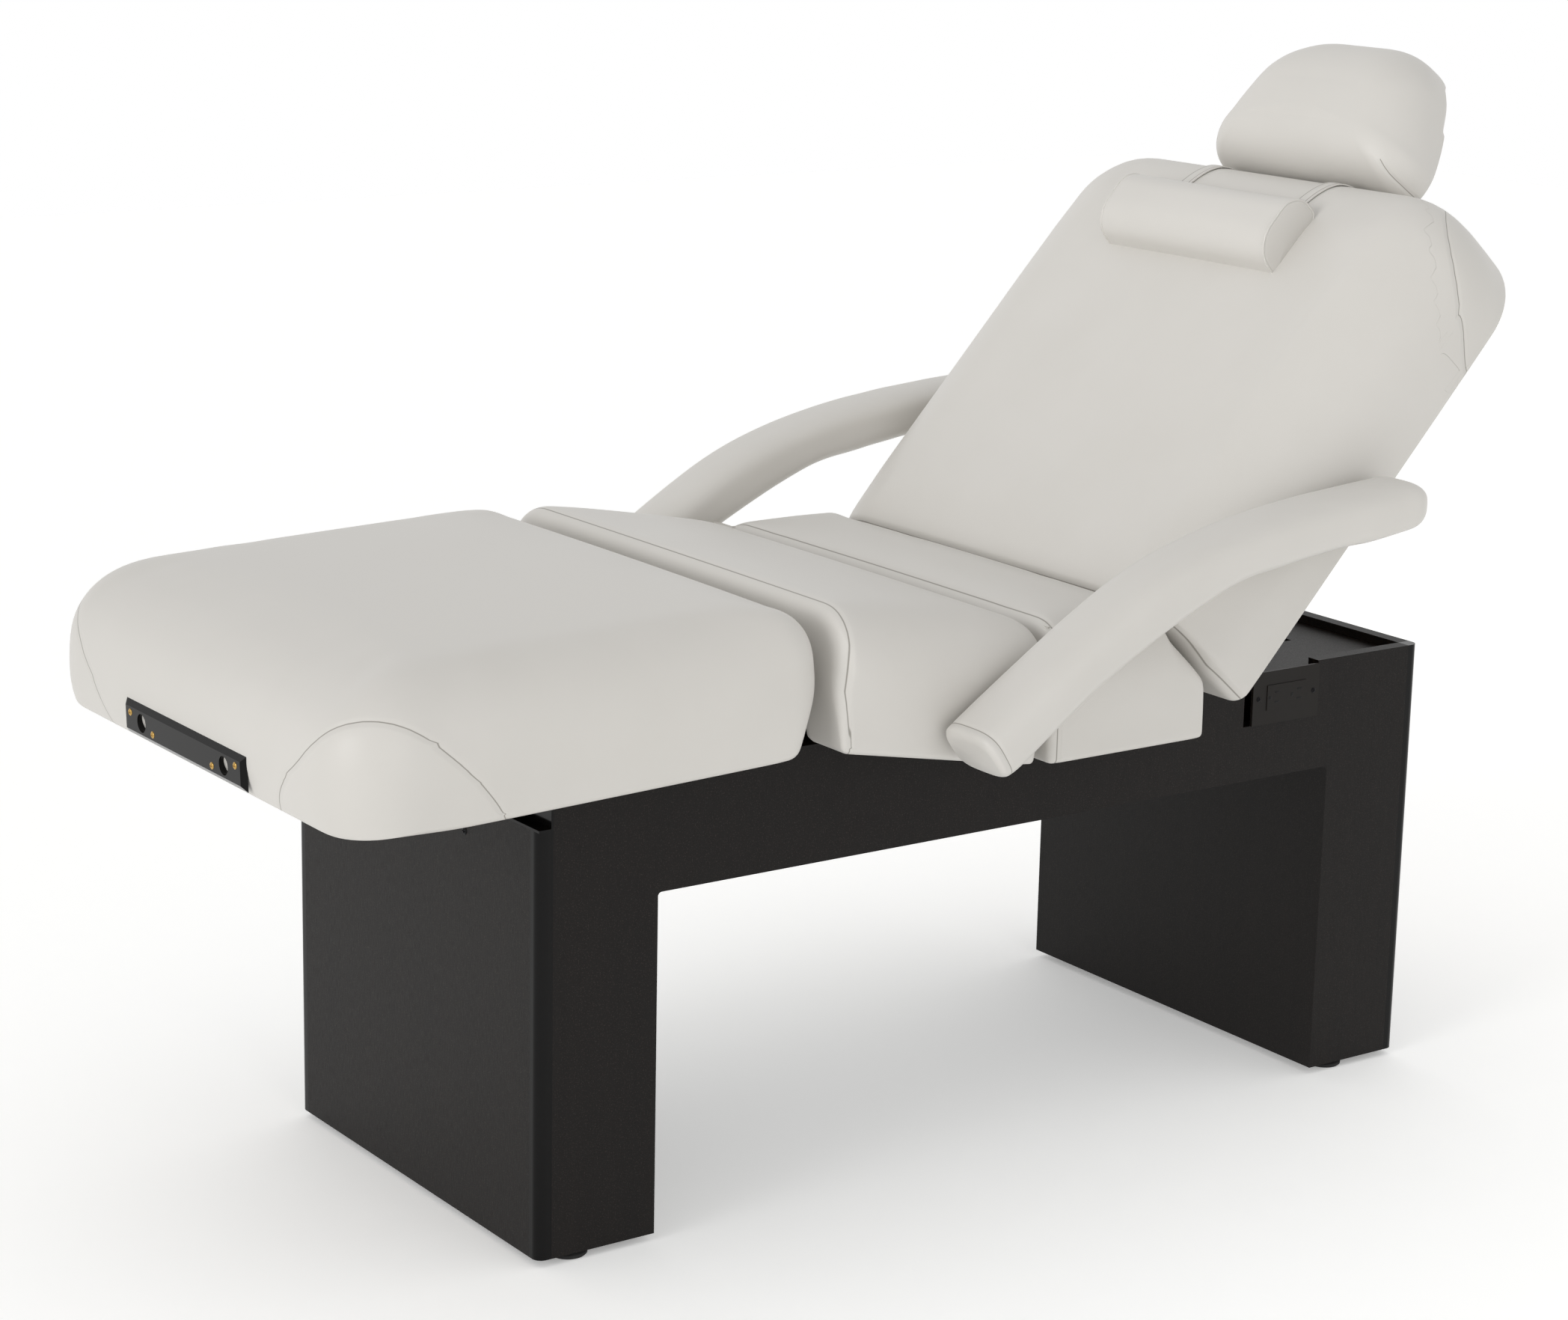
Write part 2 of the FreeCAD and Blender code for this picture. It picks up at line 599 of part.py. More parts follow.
def clevis(pin_x, y, side):
    """Clevis around a lever, open towards it; side is +1 when the rod lies on the foot side."""
    z = S["act_z"]
    half_gap = S["lever_t"] / 2 + S["side_gap"]
    outer = half_gap + S["cheek_t"]
    tall = S["cheek_half"]
    back = pin_x - side * S["clevis_back"]
    rear = back - side * S["clevis_block"]
    tip = pin_x + side * tall
    parts = []
    for y0, y1 in ((y - outer, y - half_gap), (y + half_gap, y + outer)):
        lower, upper = (rear, tip) if side > 0 else (tip, rear)
        parts.append(box(lower, upper, y0, y1, z - tall, z + tall))
    lower, upper = (rear, back) if side > 0 else (back, rear)
    parts.append(box(lower, upper, y - outer, y + outer, z - tall, z + tall))
    parts.append(rod("Y", S["pin"], 2 * outer, pin_x, y - outer, z))
    return parts, back


def lever(x, lean, slot_half, steepest, y):
    """A slotted lever under a hinge line, leaning towards the foot by an angle when the top is flat."""
    drop = hz - S["act_z"]
    slot_low = drop - S["pin"] - S["slot_up"]
    slot_high = drop / cosine(steepest) + S["pin"] + S["slot_up"]
    reach = hz - slot_high - S["lever_over"]
    wide = S["lever_half"]
    thick = S["lever_t"]
    blade = box(x - wide, x + wide, y - thick / 2, y + thick / 2, reach, hz)
    slot = box(x - slot_half, x + slot_half, y - thick, y + thick, hz - slot_high, hz - slot_low)
    hung = cut(blade, [slot])
    hung.Placement = swing(lean, x, hz)
    return hung


drop = hz - S["act_z"]
back_pin = px + drop * tangent(S["back_angle"] - S["back_lever_angle"])
thigh_pin = tx - drop * tangent(S["thigh_angle"] - S["thigh_lever_angle"])


def build_actuators():
    """Two linear actuators hung from the frame: motor housing with guide tube, and rod with clevis."""
    z = S["act_z"]
    bore = S["rod_round"] + S["fit"]
    tall = S["motor_tall"] / 2
    long = S["motor_long"]
    y = S["act_y"]
    x = S["back_motor_x"]
    motor = box(x, x + long, y - S["motor_half"], y + S["motor_half"], z - tall, z + tall)
    guide = rod("X", S["act_round"], S["back_tube_end"] - x - long / 2, x + long / 2, y, z)
    hollow = rod("X", bore, S["back_tube_end"] - x - long, x + long, y, z)
    node("back_actuator", cut(fuse([motor, guide]), [hollow]))
    parts, back = clevis(back_pin, y, 1)
    parts.append(rod("X", S["rod_round"], back - S["back_rod_x"], S["back_rod_x"], y, z))
    node("back_rod", fuse(parts))
    y = -S["act_y"]
    x = S["thigh_motor_x"]
    motor = box(x, x + long, y - S["motor_half"], y + S["motor_half"], z - tall, z + tall)
    guide = rod("X", S["act_round"], x + long / 2 - S["thigh_tube_x"], S["thigh_tube_x"], y, z)
    hollow = rod("X", bore, x - S["thigh_tube_x"], S["thigh_tube_x"], y, z)
    node("thigh_actuator", cut(fuse([motor, guide]), [hollow]))
    parts, back = clevis(thigh_pin, y, -1)
    parts.append(rod("X", S["rod_round"], S["thigh_rod_x"] - back, back, y, z))
    node("thigh_rod", fuse(parts))


hw = S["half_width"]
skirt = S["skirt_low"]
crown = S["pad_top"]
ch = S["channel_half"]


def cushion(points, channel, reliefs, corner_x=None, corner=None, extra=()):
    """An upholstered section: side outline, rounded shoulders, optional plan corners, hollow underside."""
    values = [Size.of(point[0]) for point in points]
    x0 = min(values, key=lambda size: size.value)
    x1 = max(values, key=lambda size: size.value)
    slab = prism("XZ", points, -hw, 2 * hw)
    bar = box(x0, x1, -hw, hw, skirt, crown)
    shapes = [slab, rounded(bar, S["shoulder"], lambda mid, way: abs(way.x) > 0.9
                            and abs(mid.z - crown.value) < 0.1)]
    if corner is not None:
        block = box(x0, x1, -hw, hw, skirt, crown)
        shapes.append(rounded(block, corner, lambda mid, way: abs(way.z) > 0.9
                              and abs(mid.x - corner_x.value) < 0.1))
    tools = [box(channel[0], channel[1], -ch, ch, skirt - over, board_top)]
    for relief in reliefs:
        tools.append(box(relief[0], relief[1], -ch, ch, skirt - over, board_top + S["relief_up"]))
    return cut(common(shapes), tools + list(extra))


def blocks(solid, boxes):
    """A solid parted into touching blocks, one in each box."""
    obj = doc.addObject("Part::Compound", "blocks")
    obj.Links = [common([solid, item]) for item in boxes]
    return obj


def board(x0, x1):
    """A plywood deck board between two places along the table."""
    y = ch - S["board_side"]
    return prism("XZ", [(x0, board_low), (x1, board_low), (x1, board_top), (x0, board_top)], -y, 2 * y)


def build_seat():
    """Fixed seat section."""
    inset = S["beam_back"] + S["beam_wide"] + S["board_side"]
    node("seat_deck", board(tx + inset, px - inset))
    points = [
        (tx + S["edge_gap"], skirt), (tx + S["edge_gap"], hz), (tx + S["seat_lean"], crown - S["lip"]),
        (tx + S["seat_lean"] + S["lip_in"], crown), (px - S["scoop_top"], crown),
        (px - S["scoop_top"], crown - S["scoop_lip"]), (px - S["scoop_mid"], crown - S["scoop_deep"]),
        (px - S["edge_gap"], hz + S["scoop_up"]), (px - S["edge_gap"], skirt),
    ]
    slack = S["arm_slack"]
    post_out = S["arm_post_y"] + S["plate"]
    extra = mirrored_boxes(S["arm_post_x"] - slack, S["arm_post_end"] + slack, ch - over, post_out + slack,
                           S["rail_top"] - slack, S["arm_post_top"] + slack)
    extra += mirrored_rods(S["arm_pin"] + slack, post_out, hw + over, S["arm_x"], S["arm_z"])
    reliefs = [(tx, tx + S["relief_x"]), (px - S["relief_x"], px)]
    node("seat_cushion", cushion(points, (tx, px), reliefs, extra=extra))


thigh_place = swing(S["thigh_angle"], tx, hz)
leg_place = thigh_place.multiply(swing(-S["leg_angle"], kx, hz))
back_place = swing(-S["back_angle"], px, hz)
hx = px + S["head_pivot"]
head_z = S["sock_z"]
head_place = back_place.multiply(swing(-S["head_angle"], hx, head_z))
bar_end = S["knuckle"] + S["knuckle_gap"]


def build_thigh():
    """Thigh section: deck, cushion and the steel frame with hinge leaves, knee brackets and lever."""
    node("thigh_deck", board(kx + S["board_end"], tx - S["board_end"]), thigh_place)
    points = [
        (kx + S["knee_thigh_low"], skirt), (kx + S["knee_thigh"], hz),
        (kx + S["knee_thigh"], crown - S["knee_lip"]), (kx + S["knee_thigh"] + S["knee_lip"], crown),
        (tx - S["thigh_lean"] - S["lip_in"], crown),
        (tx - S["thigh_lean"], crown - S["lip"]), (tx - S["edge_gap"], hz), (tx - S["edge_gap"], skirt),
    ]
    reliefs = [(kx, kx + S["relief_x"]), (tx - S["relief_x"], tx)]
    node("thigh_cushion", cushion(points, (kx, tx), reliefs), thigh_place)
    parts, bores = knuckle_pair(tx, tx - S["board_end"], bar_low)
    parts += bracket_pair(kx, kx + S["board_end"], bar_low)
    parts += mirrored_boxes(kx + bar_end, tx - bar_end, brk_in, leaf_out, bar_low, board_low)
    parts.append(box(tx - S["tie_x"] - S["cross"], tx - S["tie_x"], -leaf_out, leaf_out, bar_low, board_low))
    y = -S["act_y"]
    thick = S["lever_t"]
    gusset = [(tx - S["tie_x"] - S["cross"], board_low), (tx - S["tie_x"] - S["cross"], bar_low),
              (tx - S["lever_half"], hz - S["gusset_drop"]), (tx, board_low)]
    parts.append(prism("XZ", gusset, y - thick / 2, thick))
    parts.append(lever(tx, -S["thigh_lever_angle"], S["thigh_slot"], S["thigh_lever_angle"], y))
    node("thigh_frame", cut(fuse(parts), bores), thigh_place)


def build_leg():
    """Leg section: deck, cushion, steel frame and the accessory sockets in its foot end."""
    foot = S["leg_foot"]
    node("leg_deck", board(foot + S["end_wall"], kx - S["board_end"]), leg_place)
    points = [
        (foot + S["hem_in"], skirt), (foot, skirt + S["hem_up"]), (foot, crown - S["end_drop"]),
        (foot + S["end_step"], crown - S["end_lip"]), (foot + S["end_round"], crown),
        (kx - S["knee_leg"] - S["knee_lip"], crown),
        (kx - S["knee_leg"], crown - S["knee_lip"]), (kx - S["knee_leg"], hz),
        (kx - S["knee_leg_low"], skirt),
    ]
    outer = S["sock_round"] + S["sock_wall"]
    z = S["sock_z"]
    extra = [rod("X", outer + S["sock_gap"], S["end_wall"] + 2 * over, foot - over, side * S["sock_y"], z)
             for side in (-1, 1)]
    pad = cushion(points, (foot + S["end_wall"], kx), [(kx - S["relief_x"], kx)], foot, S["leg_corner"],
                  extra)
    slab = box(foot - over, kx, -hw - over, hw + over, board_top, crown + over)
    skirts = mirrored_boxes(foot - over, kx, ch, hw + over, skirt - over, board_top)
    wall = box(foot - over, foot + S["end_wall"], -ch, ch, skirt - over, board_top)
    node("leg_cushion", blocks(pad, [slab, wall] + skirts), leg_place)
    parts, bores = knuckle_pair(kx, kx - S["board_end"], bar_low)
    bar_x = foot + S["sock_len"]
    parts += mirrored_boxes(bar_x - S["sock_bar"], kx - bar_end, brk_in, leaf_out, bar_low, board_low)
    parts.append(box(bar_x - S["sock_bar"], bar_x, -leaf_out, leaf_out, z + outer, board_low))
    parts += mirrored_boxes(kx - S["ear_back"], kx - bar_end, S["ear_y"], leaf_out, bar_low, board_low)
    ear_out = S["ear_y"] + S["ear_t"]
    pivot = hz - S["link_drop"]
    parts += mirrored_boxes(kx - S["ear_back"], kx + S["pin"], S["ear_y"], ear_out, pivot - S["pin"],
                            board_low)
    parts += mirrored_rods(S["pin"], S["ear_y"], S["link_y"] + S["plate"] + S["pin_over"], kx, pivot)
    node("leg_frame", cut(fuse(parts), bores), leg_place)
    pipes = [rod("X", outer, S["sock_len"], foot, side * S["sock_y"], z) for side in (-1, 1)]
    holes = [rod("X", S["sock_round"], S["sock_len"] + 2 * over, foot - over, side * S["sock_y"], z)
             for side in (-1, 1)]
    node("foot_socket_tubes", cut(fuse(pipes), holes), leg_place)
    tall = S["plate_tall"] / 2
    half = S["plate_half"]
    front = foot - S["plate_t"]
    bevel = S["plate_bevel"]
    side_view = [(foot, z - tall), (foot, z + tall), (front, z + tall - bevel), (front, z - tall + bevel)]
    top_view = [(foot, -half), (foot, half), (front, half - bevel), (front, bevel - half)]
    face = common([prism("XZ", side_view, -half, 2 * half), prism("XY", top_view, z - tall, 2 * tall)])
    mouths = [rod("X", S["sock_round"], S["plate_t"] + 2 * over, front - over, side * S["sock_y"], z)
              for side in (-1, 1)]
    node("foot_socket_plate", cut(face, mouths), leg_place)
    heads = []
    for side in (-1, 1):
        for way in (-1, 1):
            heads.append(rod("X", S["screw_round"], S["screw_tall"], front - S["screw_tall"],
                             side * (S["sock_y"] + way * S["screw_off"]), z + way * S["screw_drop"]))
    node("foot_plate_screws", fuse(heads), leg_place)


def build_links():
    """Parallel links that keep the leg section level: studs that turn in the rails, slots at the leg."""
    pivot = hz - S["link_drop"]
    y0 = S["link_y"]
    y1 = y0 + S["plate"]
    tall = S["link_half"]
    parts = mirrored_boxes(kx - tall - S["link_slot"], tx, y0, y1, pivot - tall, pivot + tall)
    parts += mirrored_rods(tall, y0, y1, tx, pivot)
    parts += mirrored_rods(S["pin"], S["rail_in"], y1, tx, pivot)
    reach = S["pin"] + S["link_slot"]
    rise = S["pin"] + S["link_play"]
    holes = mirrored_boxes(kx - reach, kx + reach, y0 - over, y1 + over, pivot - rise, pivot + rise)
    node("leg_links", cut(fuse(parts), holes), swing(S["thigh_angle"], tx, pivot))


def build_back():
    """Back section: deck, cushion, steel frame with lever, headrest tubes and bolster straps."""
    start = px + S["back_start"]
    end = px + S["back_end"]
    node("back_deck", board(px + S["board_end"], end - S["end_wall"]), back_place)
    points = [
        (start, skirt), (start, hz), (start + S["low_step"], crown - S["low_drop"]),
        (start + S["low_mid"], crown - S["low_lip"]), (start + S["low_round"], crown),
        (end - S["end_round"], crown), (end - S["end_step"], crown - S["end_lip"]),
        (end, crown - S["end_drop"]), (end, skirt),
    ]
    outer = S["sock_round"] + S["sock_wall"]
    z = S["sock_z"]
    y = S["head_y"]
    extra = [rod("X", outer + S["sock_gap"], S["end_wall"] + 2 * over, end - S["end_wall"] - over,
                 side * y, z) for side in (-1, 1)]
    node("back_cushion", cushion(points, (px, end - S["end_wall"]), [(px, px + S["relief_x"])], end,
                                 S["back_corner"], extra), back_place)
    parts, bores = knuckle_pair(px, px + S["board_end"], bar_low)
    tube_x = px + S["head_tube"]
    bar_x = tube_x + S["sock_bar"]
    parts += mirrored_boxes(px + bar_end, bar_x + S["sock_bar"], brk_in, leaf_out, bar_low, board_low)
    parts.append(box(bar_x, bar_x + S["sock_bar"], -leaf_out, leaf_out, z + outer, board_low))
    tie = px + S["tie_x"]
    parts.append(box(tie, tie + S["cross"], -leaf_out, leaf_out, bar_low, board_low))
    thick = S["lever_t"]
    gusset = [(px, board_low), (px - S["lever_half"], hz - S["gusset_drop"]), (tie + S["cross"], bar_low),
              (tie + S["cross"], board_low)]
    parts.append(prism("XZ", gusset, S["act_y"] - thick / 2, thick))
    parts.append(lever(px, S["back_lever_angle"], S["back_slot"], S["back_lever_angle"], S["act_y"]))
    node("back_frame", cut(fuse(parts), bores), back_place)
    tube_len = S["head_tube_end"] - S["head_tube"]
    pipes = [rod("X", outer, tube_len, tube_x, side * y, z) for side in (-1, 1)]
    holes = [rod("X", S["rod_round"] + S["fit"], tube_len + 2 * over, tube_x - over, side * y, z)
             for side in (-1, 1)]
    node("head_socket_tubes", cut(fuse(pipes), holes), back_place)
    t = S["strap_t"]
    band = [
        (px + S["strap_from"], crown), (end - S["end_round"], crown),
        (end - S["end_step"], crown - S["end_lip"]), (end, crown - S["end_drop"]),
        (end, S["strap_low"]), (end + t, S["strap_low"]),
        (end + t, crown - S["end_drop"]), (end - S["end_step"] + t, crown - S["end_lip"] + t),
        (end - S["end_round"] + t / 2, crown + t), (px + S["strap_from"], crown + t),
    ]
    bands = [prism("XZ", band, S["strap_y"], S["strap_wide"]),
             prism("XZ", band, -S["strap_y"] - S["strap_wide"], S["strap_wide"])]
    node("bolster_straps", fuse(bands), back_place)


def build_bolster():
    """Neck bolster, grooved underneath for its straps."""
    x = px + S["bol_from"]
    z = crown + S["strap_gap"]
    points = [(x + along * S["bol_long"], z + up * S["bol_tall"]) for along, up in BOLSTER_SECTION]
    solid = prism("XZ", points, -S["bol_half"], 2 * S["bol_half"])
    grooves = mirrored_boxes(x - over, x + S["bol_long"] + over, S["strap_y"] - S["strap_gap"],
                             S["strap_y"] + S["strap_wide"] + S["strap_gap"], z - over,
                             crown + S["strap_t"] + S["strap_gap"])
    node("bolster", cut(solid, grooves), back_place)


def rolled(left, right, low, top):
    """Outline of the headrest pad from a side: eased underside and rolled top edges."""
    ease, roll, shoulder = S["rest_ease"], S["rest_roll"], S["rest_shoulder"]
    return [(left + ease, low), (right - ease, low), (right, low + ease), (right, top - roll),
            (right - shoulder, top - shoulder), (right - roll, top), (left + roll, top),
            (left + shoulder, top - shoulder), (left, top - roll), (left, low + ease)]


def build_headrest():
    """Headrest: rods that slide in the back's tubes, and a tilting pad on the rods' cross bar."""
    y = S["head_y"]
    rod_x = px + S["head_rod_in"]
    parts = [rod("X", S["rod_round"], hx - rod_x, rod_x, side * y, head_z) for side in (-1, 1)]
    parts.append(rod("Y", S["head_bar_round"], 2 * S["head_bar_half"], hx, -S["head_bar_half"], head_z))
    node("headrest_rods", fuse(parts), back_place)
    x = hx + S["rest_from"]
    z = head_z + S["rest_low"]

    def plan(inset):
        side = S["rest_half"] - inset
        end = x + S["rest_long"] - inset
        return [(x + inset, -side), (x + S["rest_side"], -side), (end, -S["rest_top_half"]),
                (end, S["rest_top_half"]), (x + S["rest_side"], side), (x + inset, side)]

    plate = prism("XY", plan(S["rest_inset"]), z, S["rest_board"])
    rings = mirrored_rods(S["clamp_round"], S["clamp_y"], S["clamp_y"] + S["clamp_wide"], hx, head_z)
    straps = mirrored_boxes(hx, hx + S["clamp_len"], S["clamp_y"], S["clamp_y"] + S["clamp_wide"],
                            z - S["rest_board"], z)
    clamp_end = S["clamp_y"] + S["clamp_wide"]
    bores = mirrored_rods(S["head_bar_round"] + S["fit"], S["clamp_y"] - over, clamp_end + over, hx, head_z)
    node("headrest_frame", cut(fuse([plate] + rings + straps), bores), head_place)
    low = z + S["rest_board"]
    top = low + S["rest_thick"]
    end = x + S["rest_long"]
    pad = [prism("XY", plan(ZERO), low, S["rest_thick"]),
           prism("XZ", rolled(x, end, low, top), -S["rest_half"], 2 * S["rest_half"]),
           prism("YZ", rolled(-S["rest_half"], S["rest_half"], low, top), x, S["rest_long"])]
    node("headrest_pad", common(pad), head_place)


def arm_core(side):
    """Steel hub and blade inside an armrest."""
    inside = hw + S["arm_gap"]
    y = inside if side > 0 else -inside - S["arm_core"]
    hub = rod("Y", S["arm_boss"], S["arm_core"], S["arm_x"], y, S["arm_z"])
    x1 = S["arm_x"] + S["arm_bar_len"]
    z0 = S["arm_z"] - S["arm_bar"]
    z1 = S["arm_z"] + S["arm_bar"]
    blade = prism("XZ", [(S["arm_x"], z0), (x1, z0), (x1, z1), (S["arm_x"], z1)], y, S["arm_core"])
    blade.Placement = swing(-S["arm_bar_angle"], S["arm_x"], S["arm_z"])
    return fuse([hub, blade])


def build_arms():
    """Armrests that pivot on posts of the seat frame."""
    inside = hw + S["arm_gap"]
    points = [(S["arm_x"] + along * S["arm_long"], S["arm_z"] + up * S["arm_rise"])
              for along, up in ARM_OUTLINE]
    for label, side in (("right", -1), ("left", 1)):
        y = inside if side > 0 else -inside - S["arm_wide"]
        node("arm_pad_%s" % label, cut(prism("XZ", points, y, S["arm_wide"]), [arm_core(side)]))
        core_y = inside - over if side > 0 else -inside - S["arm_core"] - over
        bore = rod("Y", S["arm_pin"] + S["fit"], S["arm_core"] + 2 * over, S["arm_x"], core_y, S["arm_z"])
        node("arm_core_%s" % label, cut(arm_core(side), [bore]))
        web_in = S["arm_post_y"]
        post_y = web_in if side > 0 else -web_in - S["plate"]
        beam_top = S["rail_top"] + S["beam_t"]
        web = box(S["arm_post_x"], S["arm_post_end"], post_y, post_y + S["plate"], beam_top,
                  S["arm_post_top"])
        length = inside + S["arm_core"] - S["arm_slack"] - web_in
        pin_y = web_in if side > 0 else -web_in - length
        spindle = rod("Y", S["arm_pin"], length, S["arm_x"], pin_y, S["arm_z"])
        node("arm_post_%s" % label, fuse([web, spindle]))


build_side_panels()
build_case()
build_posts()
build_corner_pull()
build_outlet()
build_inlet()
build_feet()
build_columns()
build_top_frame()
build_actuators()
build_seat()
build_thigh()
build_leg()
build_links()
build_back()
build_bolster()
build_headrest()
build_arms()
doc.recompute()

for item in doc.Objects:
    if "Invalid" in item.State or "Error" in item.State:
        raise RuntimeError("%s did not build" % item.Label)
for item in NODES:
    if item.Shape.isNull() or not item.Shape.isValid() or not item.Shape.Solids:
        raise RuntimeError("%s is not a valid solid" % item.Label)
os.makedirs("parts", exist_ok=True)
for item in NODES:
    item.Shape.exportStep("parts/%s.step" % item.Label)
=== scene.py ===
"""Spa treatment table dressed for the studio: upholstery, fittings and finishes over the fixed CAD frame.

Soft sections are drawn lying flat, in millimetres, and turned to their rest place as the last step.
"""
import logging
import math
from dataclasses import dataclass, field
from enum import Enum
from typing import Callable, Sequence

import bmesh
import bpy
import numpy as np
from mathutils import Matrix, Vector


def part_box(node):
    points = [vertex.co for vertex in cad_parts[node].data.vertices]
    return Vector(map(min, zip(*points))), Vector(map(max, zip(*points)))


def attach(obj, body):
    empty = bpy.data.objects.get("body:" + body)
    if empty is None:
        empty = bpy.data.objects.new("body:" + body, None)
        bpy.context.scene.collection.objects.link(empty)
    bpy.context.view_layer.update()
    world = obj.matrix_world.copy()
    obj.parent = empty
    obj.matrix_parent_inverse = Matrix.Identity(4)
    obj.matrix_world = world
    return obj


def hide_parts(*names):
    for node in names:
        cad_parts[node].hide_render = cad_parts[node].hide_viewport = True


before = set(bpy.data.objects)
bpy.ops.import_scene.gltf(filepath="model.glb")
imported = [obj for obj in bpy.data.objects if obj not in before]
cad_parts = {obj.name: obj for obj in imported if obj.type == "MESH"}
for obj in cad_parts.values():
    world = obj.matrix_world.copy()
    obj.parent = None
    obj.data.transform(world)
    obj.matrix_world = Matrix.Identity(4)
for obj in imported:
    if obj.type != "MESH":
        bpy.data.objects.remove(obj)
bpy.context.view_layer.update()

MM = 0.001
FAR = 1e6
Array = np.ndarray
log = logging.getLogger("table")


class Side(Enum):
    """The two long sides of the table, as the sign of y."""

    RIGHT = -1
    LEFT = 1


@dataclass(frozen=True)
class Place:
    """Rest place of a piece drawn flat: turns about cross axes, the first one made first.

    Attributes:
        turns: Angle in degrees and the x and z of the axis, in millimetres.
    """

    turns: tuple[tuple[float, float, float], ...] = ()

    def row(self, flat: Array) -> Array:
        """Turn flat points to where they rest: each (x, z) swings about the axis by the angle.

        Args:
            flat: Points in millimetres, one row each.

        Returns:
            The turned points.
        """
        out = flat.copy()
        for angle, x, z in self.turns:
            c, s = math.cos(math.radians(angle)), math.sin(math.radians(angle))
            dx, dz = out[:, 0] - x, out[:, 2] - z
            out[:, 0] = x + dx * c + dz * s
            out[:, 2] = z - dx * s + dz * c
        return out


LEVEL = Place()
THIGH_PLACE = Place(((10.86, 54, 603),))
LEG_PLACE = Place(((-12.66, -270, 603), (10.86, 54, 603)))
BACK_PLACE = Place(((-47.3, 294, 603),))
HEAD_PLACE = Place(((-8, 1042, 561), (-47.3, 294, 603)))


# Finishes


def linear(code: str) -> tuple[float, float, float, float]:
    """Turn an sRGB hex colour into linear light.

    Args:
        code: Colour such as "#d8d5cf".

    Returns:
        Linear red, green, blue and an alpha of one.
    """
    srgb = np.array([int(code[i:i + 2], 16) for i in (1, 3, 5)]) / 255
    red, green, blue = np.where(srgb <= 0.04045, srgb / 12.92, ((srgb + 0.055) / 1.055) ** 2.4)
    return float(red), float(green), float(blue), 1.0


def add_node(tree: bpy.types.NodeTree, kind: str, inputs: dict | None = None, **settings: object) -> bpy.types.Node:
    """Add a node with its settings, socket values and links.

    Args:
        tree: Node tree that takes the node.
        kind: Blender's name for the kind of node.
        inputs: Value, or socket to link from, for each input by name or number.
        **settings: Properties of the node.

    Returns:
        The new node.
    """
    node = tree.nodes.new(kind)
    for key, value in settings.items():
        setattr(node, key, value)
    for key, value in (inputs or {}).items():
        if isinstance(value, bpy.types.NodeSocket):
            tree.links.new(value, node.inputs[key])
        else:
            node.inputs[key].default_value = value
    return node


@dataclass(frozen=True)
class Finish:
    """Ground of every finish: a named material with one shader.

    Attributes:
        name: Material name.
        ground: Main colour as sRGB hex.
        shade: Second colour of its pattern as sRGB hex.
        rough: Lowest and highest roughness.
        metallic: One for bare metal, otherwise zero.
    """

    name: str
    ground: str
    shade: str
    rough: tuple[float, float]
    metallic: float = 0.0

    def material(self) -> bpy.types.Material:
        """Give the finish's material, made on first use."""
        found = bpy.data.materials.get(self.name)
        if found is not None:
            return found
        made = bpy.data.materials.new(self.name)
        made.use_nodes = True
        tree = made.node_tree
        shader = tree.nodes["Principled BSDF"]
        shader.inputs["Metallic"].default_value = self.metallic
        place = add_node(tree, "ShaderNodeTexCoord").outputs["Object"]
        self.paint(tree, shader, place)
        return made

    def paint(self, tree: bpy.types.NodeTree, shader: bpy.types.Node, place: bpy.types.NodeSocket) -> None:
        """Draw the pattern of the finish; each kind of finish has its own."""
        raise NotImplementedError

    def ease_rough(self, tree: bpy.types.NodeTree, shader: bpy.types.Node, amount: bpy.types.NodeSocket) -> None:
        """Let roughness run between its two ends by an amount from 0.3 to 0.7, the usual span of noise."""
        spread = add_node(tree, "ShaderNodeMapRange", {"Value": amount, "From Min": 0.3, "From Max": 0.7,
                                                       "To Min": self.rough[0], "To Max": self.rough[1]})
        tree.links.new(spread.outputs["Result"], shader.inputs["Roughness"])

    def mix(self, tree: bpy.types.NodeTree, amount: bpy.types.NodeSocket, first: object,
            second: object) -> bpy.types.NodeSocket:
        """Mix two colours by an amount.

        Args:
            tree: Node tree.
            amount: Share of the second colour.
            first: Hex colour or colour socket.
            second: Hex colour or colour socket.

        Returns:
            The mixed colour.
        """
        ends = [linear(end) if isinstance(end, str) else end for end in (first, second)]
        made = add_node(tree, "ShaderNodeMix", {0: amount, 6: ends[0], 7: ends[1]}, data_type="RGBA")
        return made.outputs[2]


